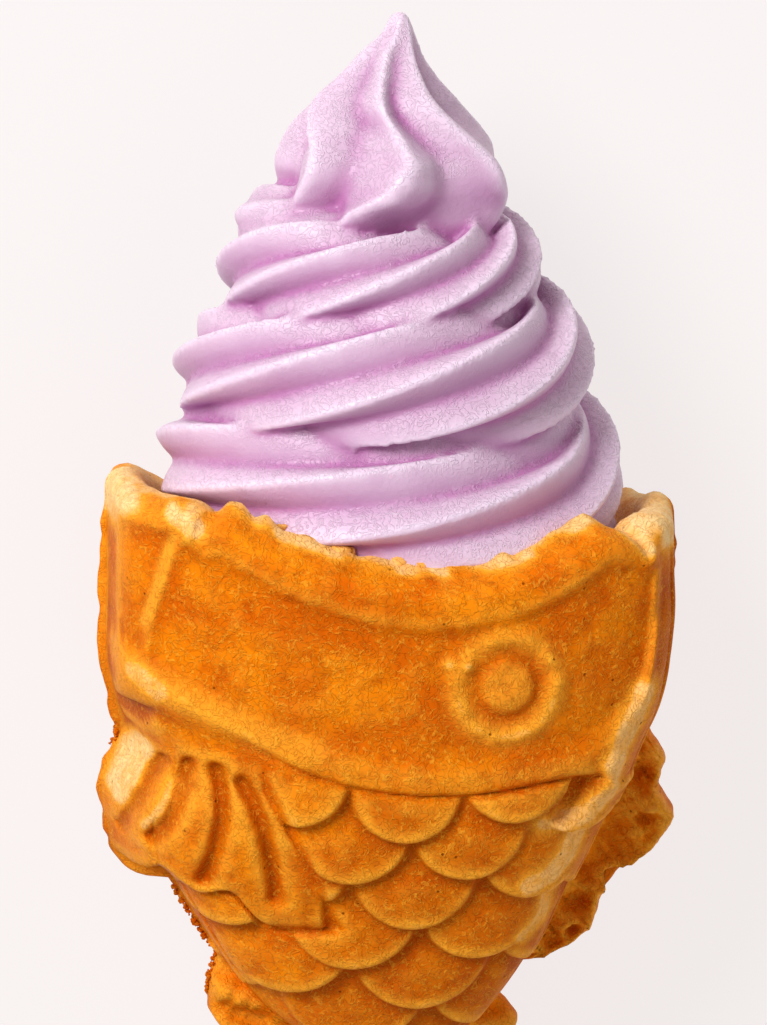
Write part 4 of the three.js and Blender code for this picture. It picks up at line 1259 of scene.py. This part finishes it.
LEVELS, SLICES = 190, 300
level = PEAK_FOOT + (PEAK_TIP[1] - PEAK_FOOT) * np.sin(np.linspace(0, 1, LEVELS) * np.pi / 2)
angle = np.linspace(-180, 180, SLICES, endpoint=False)
peak_points = peak_surface(level[:, None] + np.zeros((1, SLICES)), angle[None] + np.zeros((LEVELS, 1)))
print("peak points:", peak_points.shape[0] * peak_points.shape[1])

# %% [markdown]
# ## The core
# The rope leaves a hole along its axis and in the pocket, and real soft serve has none. A plain turned shape
# with its own width and depth at each height fills it and reaches down to the pocket's floor.

# %% Core
CORE = [  # y, half width, half depth
    [-30.7, 3, 2], [-30.4, 12, 8], [-28, 24, 16], [-22, 32.5, 22.5], [-15, 35.2, 25.0], [-8, 36.6, 26.3],
    [-2, 32, 25], [4, 29.5, 25], [10, 29.5, 26], [15, 28.5, 25.5], [20, 25, 22.5], [30, 21.5, 20.5],
    [40, 14, 14], [46, 6, 6],
]
core_width, core_depth = curve(CORE), curve(CORE, 2)
CORE_LEVELS, CORE_SLICES = 60, 120
core_y = np.linspace(CORE[0][0], CORE[-1][0], CORE_LEVELS)[:, None]
core_turn = np.linspace(-np.pi, np.pi, CORE_SLICES, endpoint=False)[None]
core_points = np.stack([
    SERVE_X + core_width(core_y) * np.sin(core_turn),
    core_y + 0 * core_turn,
    core_depth(core_y) * np.cos(core_turn),
], axis=-1)
print("core from", core_y[0, 0], "to", core_y[-1, 0])

# %% [markdown]
# ## Melting the parts together
# Rope, peak and core are three closed skins that overlap. A boolean union would keep a knife-sharp line
# where they meet. A voxel remesh turns them into one skin and rounds those lines by about half a millimetre,
# as soft ice does. One round of smoothing then takes the voxels' stair steps away. The remesh is done before
# the pocket's wall presses the lower turns in.

# %% Join by voxels
VOXEL = 0.59  # in millimetres, small enough for the crests and large enough for less than 200,000 triangles


def capped_tube(points):
    """Faces of a tube of rings, closed at both ends by fans to the rings' middles, with those two points."""
    count, size = points.shape[:2]
    flat = points.reshape(-1, 3)
    ends = np.stack([points[0].mean(axis=0), points[-1].mean(axis=0)])
    j = np.arange(size)
    k = (j + 1) % size
    start = np.stack([np.full(size, count * size), k, j], axis=-1)
    last = (count - 1) * size
    end = np.stack([np.full(size, count * size + 1), last + j, last + k], axis=-1)
    return np.concatenate([flat, ends]), ring_faces(count, size), np.concatenate([start, end])


tubes = [capped_tube(points) for points in (rope_points.reshape(TURNS, ROUND, 3), peak_points, core_points)]
raw = make_piece("serve_raw", *join_parts(tubes))
remesh = raw.modifiers.new("melt", "REMESH")
remesh.mode = "VOXEL"
remesh.voxel_size = VOXEL * MM
soften = raw.modifiers.new("soften", "SMOOTH")
soften.factor = 0.5
soften.iterations = 1
melted = bpy.data.meshes.new_from_object(raw.evaluated_get(bpy.context.evaluated_depsgraph_get()))
bpy.data.objects.remove(raw)
print("melted skin:", len(melted.vertices), "points,", len(melted.polygons), "faces")

# %% [markdown]
# ## Pressing the serve into the pocket
# Where the turns are wider than the pocket, the crust holds them back. Taking the pocket away with a boolean
# would cut the turns flat. Instead, points inside the lips are scaled in, towards the axis, until they lie a
# small gap inside the rounded box of the pocket, so the turns are squeezed.

# %% Fit to the pocket
GAP = 0.3
serve = points_of(melted) - SHIFT


def press_in(points):
    """Scales x and z of points inside the mouth so that |x / a|^2.8 + |z / b|^2.2 is at most 1. The box opens
    over the lip's inner quarter circle and is free above it."""
    x, y, z = points.T
    across = np.clip(x, -MOUTH_HALF_WIDTH, MOUTH_HALF_WIDTH)
    rim = np.where(z > 0, front_rim(across), back_rim(across))
    above = y - (rim - LIP_ROUND)
    inside_lip = np.clip(above / LIP_ROUND, 0, 1)
    room = WALL / 2 * (1 - np.sqrt(1 - inside_lip**2)) + 3.0 * np.clip(above - LIP_ROUND, 0, None) - GAP
    fullness = np.abs(x / (POCKET_WIDTH + room)) ** WIDTH_POWER
    fullness = fullness + np.abs(z / (POCKET_DEPTH + room)) ** DEPTH_POWER
    scale = np.where(fullness > 1, np.maximum(fullness, 1) ** (-1 / 2.5), 1.0)
    return np.stack([x * scale, y, z * scale], axis=-1)


serve = press_in(serve)
melted.vertices.foreach_set("co", ((serve + SHIFT) * MM).astype(np.float32).ravel())
melted.update()
melted.polygons.foreach_set("use_smooth", np.ones(len(melted.polygons), bool))
soft_serve = bpy.data.objects.new("soft_serve_swirl", melted)
bpy.context.scene.collection.objects.link(soft_serve)
print("serve box in mm:", serve.min(axis=0).round(1), serve.max(axis=0).round(1))

# %% [markdown]
# ## Crests and hollows of the serve
# Crests of the serve are painted paler, a painted highlight, and its hollows darker, painted shade. To find
# them, each point is compared with the mean of its surroundings. The renderer's own pointiness looks at
# direct neighbours only, and a rib is much wider. The surroundings come from averaging each point with its
# neighbours along the edges, many times over, with one array operation per round.

# %% Mask for crests
SPREAD_ROUNDS = 14
a, b = read_all(melted.edges, "vertices", 2, np.int32).T
neighbours = np.bincount(a, minlength=len(serve)) + np.bincount(b, minlength=len(serve))
around = serve.copy()
for _ in range(SPREAD_ROUNDS):
    total = np.stack([
        np.bincount(a, around[b, k], len(serve)) + np.bincount(b, around[a, k], len(serve)) for k in range(3)
    ], axis=-1)
    around = total / np.maximum(neighbours, 1)[:, None]
proud = ((serve - around) * read_all(melted.vertices, "normal")).sum(axis=1)
give_attribute(soft_serve, "crest", np.clip(proud / 0.5, -1, 1))
print("crest mask from", proud.min().round(2), "to", proud.max().round(2))

# %% [markdown]
# ## Lilac soft serve
# Soft serve is translucent and wet: a pale pinkish lilac with light scattered under its surface, and a thin
# film of melt on top. The faces that look up to the nozzle are covered with fine wrinkles where the rope was
# drawn and folded, so the wrinkle bump is stronger there. They could be modelled, but they are finer than
# the mesh, so they are bump and a painted highlight, driven by one pattern. Faces that look down and the
# valleys between the ribs are painted darker, which is painted shade, and the crests paler, a painted
# highlight.

# %% Soft serve patterns
# The shade colour gives random darker patches and painted shade; the pale crest colour is painted highlight
# on crests and wrinkles.
LILAC, SHADE, PAINTED_HIGHLIGHT = (0.69, 0.49, 0.64, 1), (0.48, 0.18, 0.40, 1), (0.88, 0.73, 0.86, 1)

serve_material, tree, shader = new_material("lilac soft serve")
coordinates = put(tree, "TexCoord", {})
place, facing = coordinates.outputs["Object"], coordinates.outputs["Normal"]
upward = put(tree, "SeparateXYZ", {0: facing}).outputs[1]
wrinkled = spread(tree, upward, -0.05, 0.40, 0.0, 1.0)
crest = put(tree, "Attribute", {}, attribute_name="crest").outputs["Fac"]
clouds = noise(tree, place, 90.0, 3.0)
folds = squiggles(tree, place, 700.0, 0.06, 1.8)
fine = noise(tree, place, 1300.0, 3.0, 0.6)
print("serve patterns take", len(tree.nodes), "nodes")

# %% Soft serve colours and gloss
colour = blend(tree, spread(tree, clouds, 0.35, 0.65, 0.0, 0.25), LILAC, SHADE)
# Faces that look down are painted darker: painted shade.
colour = blend(tree, spread(tree, upward, -0.40, 0.30, 0.62, 0.0), colour, SHADE)
# Valleys are painted darker: painted shade.
colour = blend(tree, spread(tree, crest, -0.9, 0.0, 0.98, 0.0), colour, SHADE)
# Crests are painted paler: a painted highlight.
colour = blend(tree, spread(tree, crest, 0.10, 0.9, 0.0, 0.60), colour, PAINTED_HIGHLIGHT)
folded = maths(tree, "MULTIPLY", folds, wrinkled)
# Painted highlight along the wrinkles on faces that look up.
colour = blend(tree, maths(tree, "MULTIPLY", folded, 0.11), colour, PAINTED_HIGHLIGHT)
tree.links.new(colour, shader.inputs["Base Color"])
height = maths(tree, "ADD", maths(tree, "MULTIPLY", folded, 0.6), maths(tree, "MULTIPLY", fine, 0.45))
skin = put(tree, "Bump", {"Strength": 0.6, "Distance": 0.00038, "Height": height})
tree.links.new(skin.outputs["Normal"], shader.inputs["Normal"])
tree.links.new(spread(tree, clouds, 0.3, 0.7, 0.46, 0.36), shader.inputs["Roughness"])
shader.inputs["Specular IOR Level"].default_value = 0.32
shader.inputs["Coat Weight"].default_value = 0.10
shader.inputs["Coat Roughness"].default_value = 0.30
shader.inputs["Subsurface Weight"].default_value = 0.10
shader.inputs["Subsurface Radius"].default_value = (1.0, 0.6, 0.85)
shader.inputs["Subsurface Scale"].default_value = 0.0012
soft_serve.data.materials.clear()
soft_serve.data.materials.append(serve_material)
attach(soft_serve, "root")
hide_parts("soft_serve")
print("serve material has", len(tree.nodes), "nodes")

# %% [markdown]
# ## Crumbs on the lip
# Bits of torn batter stick to the inner edge of the front lip and along the left seam. A particle system
# could strew them, but it would also put them where there are none. So each is a small lumpy ball, set in
# one of a few stretches at a place that a seeded generator chooses. Together they are one piece that rides
# with the crust.

# %% One crumb


def lumpy_ball(centre, radius, seed, rings=9, slices=12):
    """Points and faces of a ball whose radius varies by a few sines of its two angles."""
    polar = np.linspace(0, np.pi, rings)[:, None]
    turned = np.linspace(0, 2 * np.pi, slices, endpoint=False)[None]
    lump = 1 + 0.22 * np.sin(2 * turned + seed) * np.sin(polar)
    lump = lump + 0.18 * np.sin(3 * polar + 2 * seed + turned)
    direction = np.stack([
        np.sin(polar) * np.cos(turned), np.cos(polar) + 0 * turned, np.sin(polar) * np.sin(turned)
    ], axis=-1)
    inner = (direction * lump[..., None])[1:-1]
    return capped_tube(centre + radius * inner)


print("one crumb has", len(lumpy_ball(np.zeros(3), 1.0, 0.0)[0]), "points")

# %% Crumbs
CRUMB_RUNS = [(-19.0, -8.0, 9), (-1.8, 2.2, 9), (5.0, 12.5, 14)]  # from x, to x, how many
SEAM_RUNS = [(-38.2, -35.0, 12), (-80.0, -60.0, 70)]  # from y, to y, how many
CRUMB_SIZE, SEAM_CRUMB_SIZE = (0.6, 1.35), (0.18, 0.42)  # least and greatest radius
CRUMB_SHAPE = np.array([1.2, 0.8, 0.8])  # crumbs on the lip are longer across the fish
FULL_TURN = 6.28
LIP_ROW = POCKET_ROWS + 3
random = np.random.default_rng(7)
balls = []
for start, end, count in CRUMB_RUNS:
    for x in random.uniform(start, end, count):
        radius = random.uniform(*CRUMB_SIZE)
        lip_height = np.interp(x, front[0][LIP_ROW], front[2][LIP_ROW])
        above, outwards = random.uniform(1.3, 2.3), random.uniform(-1.0, 0.6)
        centre = np.array([x, front_rim(x) + above, lip_height + outwards])
        balls.append(lumpy_ball(centre, radius * CRUMB_SHAPE, random.uniform(0, FULL_TURN)))
for start, end, count in SEAM_RUNS:
    for y in random.uniform(start, end, count):
        edge = min(outline(y)[0], left_edge(y) - 0.7)
        centre = np.array([edge - random.uniform(-0.2, 0.2), y, random.uniform(-0.6, 1.4)])
        balls.append(lumpy_ball(centre, random.uniform(*SEAM_CRUMB_SIZE), random.uniform(0, FULL_TURN)))
crumb_points, crumb_quads, crumb_caps = join_parts(balls)
crumbs = make_piece("lip_crumbs", crumb_points, crumb_quads, crumb_caps)
on_lip = crumb_points[:, 1] > -20
give_attribute(crumbs, "pale", np.where(on_lip, 0.68, 0.0))
give_attribute(crumbs, "toast_and_shade", np.where(on_lip, 0.25, 0.7))
give_attribute(crumbs, "fin", np.full(len(crumb_points), 0.0))
crumbs.data.materials.append(crust_material)
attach(crumbs, "root")
print(len(balls), "crumbs with", len(crumb_points), "points")

# %% [markdown]
# ## Table
# The cone lies on a pale, softly glowing table like those used for food pictures, so that its shadow stays
# faint. Things that stand need a backdrop that curves up behind them, but a lying one seen from above needs
# only a flat table. It is a single square at the height that the fish lies on.

# %% Table
FLOOR_HALF = 3.0  # metres
table_corners = np.array([[-1, -1, 0], [1, -1, 0], [1, 1, 0], [-1, 1, 0]], float) * FLOOR_HALF / MM
floor = make_piece("table_top", table_corners - SHIFT, [[0, 1, 2, 3]])
table_material, tree, shader = new_material("pale table")
place = put(tree, "TexCoord", {}).outputs["Object"]
tint = blend(tree, noise(tree, place, 1.5, 2.0), (0.12, 0.117, 0.117, 1), (0.13, 0.127, 0.127, 1))
tree.links.new(tint, shader.inputs["Base Color"])
shader.inputs["Roughness"].default_value = 0.9
shader.inputs["Emission Color"].default_value = (0.93, 0.88, 0.875, 1)
shader.inputs["Emission Strength"].default_value = 0.86
floor.data.materials.append(table_material)
print("table", 2 * FLOOR_HALF, "m square")

# %% [markdown]
# ## Light
# Three soft area lights stand round the fish: a strong key light at the upper left, a weak fill light below
# it and a small side light at the upper right. The room's own even light lifts the rest. Lamps that are
# points would give hard shadows and tiny glints, and a picture of a room would have to be stored with the
# scene.

# %% Light
ROOM_COLOUR, ROOM_STRENGTH = (0.98, 0.95, 0.93, 1), 0.24
world = bpy.data.worlds.new("studio")
bpy.context.scene.world = world
world.use_nodes = True
world.node_tree.nodes["Background"].inputs["Color"].default_value = ROOM_COLOUR
world.node_tree.nodes["Background"].inputs["Strength"].default_value = ROOM_STRENGTH


def soft_light(name, x, y, z, power, size):
    """Square area light at (x, y, z) in metres that looks at a point 0.03 m above the table's middle."""
    lamp = bpy.data.lights.new(name, "AREA")
    lamp.energy = power
    lamp.size = size
    made = bpy.data.objects.new(name, lamp)
    made.location = (x, y, z)
    made.rotation_euler = (-Vector((x, y, z - 0.03))).to_track_quat("-Z", "Y").to_euler()
    bpy.context.scene.collection.objects.link(made)
    return made


soft_light("key light", -0.48, 0.50, 0.60, 8.3, 0.36)
soft_light("fill light", 0.06, -0.50, 0.65, 1.6, 0.60)
soft_light("side light", 0.50, 0.30, 0.45, 0.75, 0.50)
print("three soft lights and the room")

# %% [markdown]
# ## Camera
# The camera looks down on the fish, leaning 14 degrees towards the tip and 6 degrees to the left. A long
# lens from 0.62 m keeps the shapes nearly undistorted. A Track To constraint could aim it, but three axes
# worked out by cross products aim it exactly and need no helper object.

# %% Camera
VIEW_UP, VIEW_LEFT, DISTANCE = np.radians(14.0), np.radians(6.0), 620.0
TARGET = np.array([-1.0, -2.0, 0.0])
MM_PER_PIXEL, PICTURE_HEIGHT = 0.1536, 1025  # at the target's distance
backward = np.array([
    -np.sin(VIEW_LEFT) * np.cos(VIEW_UP), np.sin(VIEW_UP), np.cos(VIEW_LEFT) * np.cos(VIEW_UP)
])
sideways = np.cross([0, 1, 0], backward)
sideways = sideways / np.linalg.norm(sideways)
upwards = np.cross(backward, sideways)
position = (TARGET + backward * DISTANCE + SHIFT) * MM
axes = np.stack([sideways, upwards, backward], axis=1)
lens = bpy.data.cameras.new("camera")
lens.sensor_fit = "VERTICAL"
lens.sensor_height = 36.0
lens.lens = lens.sensor_height * DISTANCE / (MM_PER_PIXEL * PICTURE_HEIGHT)
lens.clip_start, lens.clip_end = 0.01, 20.0
camera = bpy.data.objects.new("camera", lens)
top_rows = [[*row, p] for row, p in zip(axes.tolist(), position.tolist())]
camera.matrix_world = Matrix(top_rows + [[0, 0, 0, 1]])
bpy.context.scene.collection.objects.link(camera)
bpy.context.scene.camera = camera
bpy.context.scene.view_settings.view_transform = "Standard"
print("lens", round(lens.lens, 1), "mm")
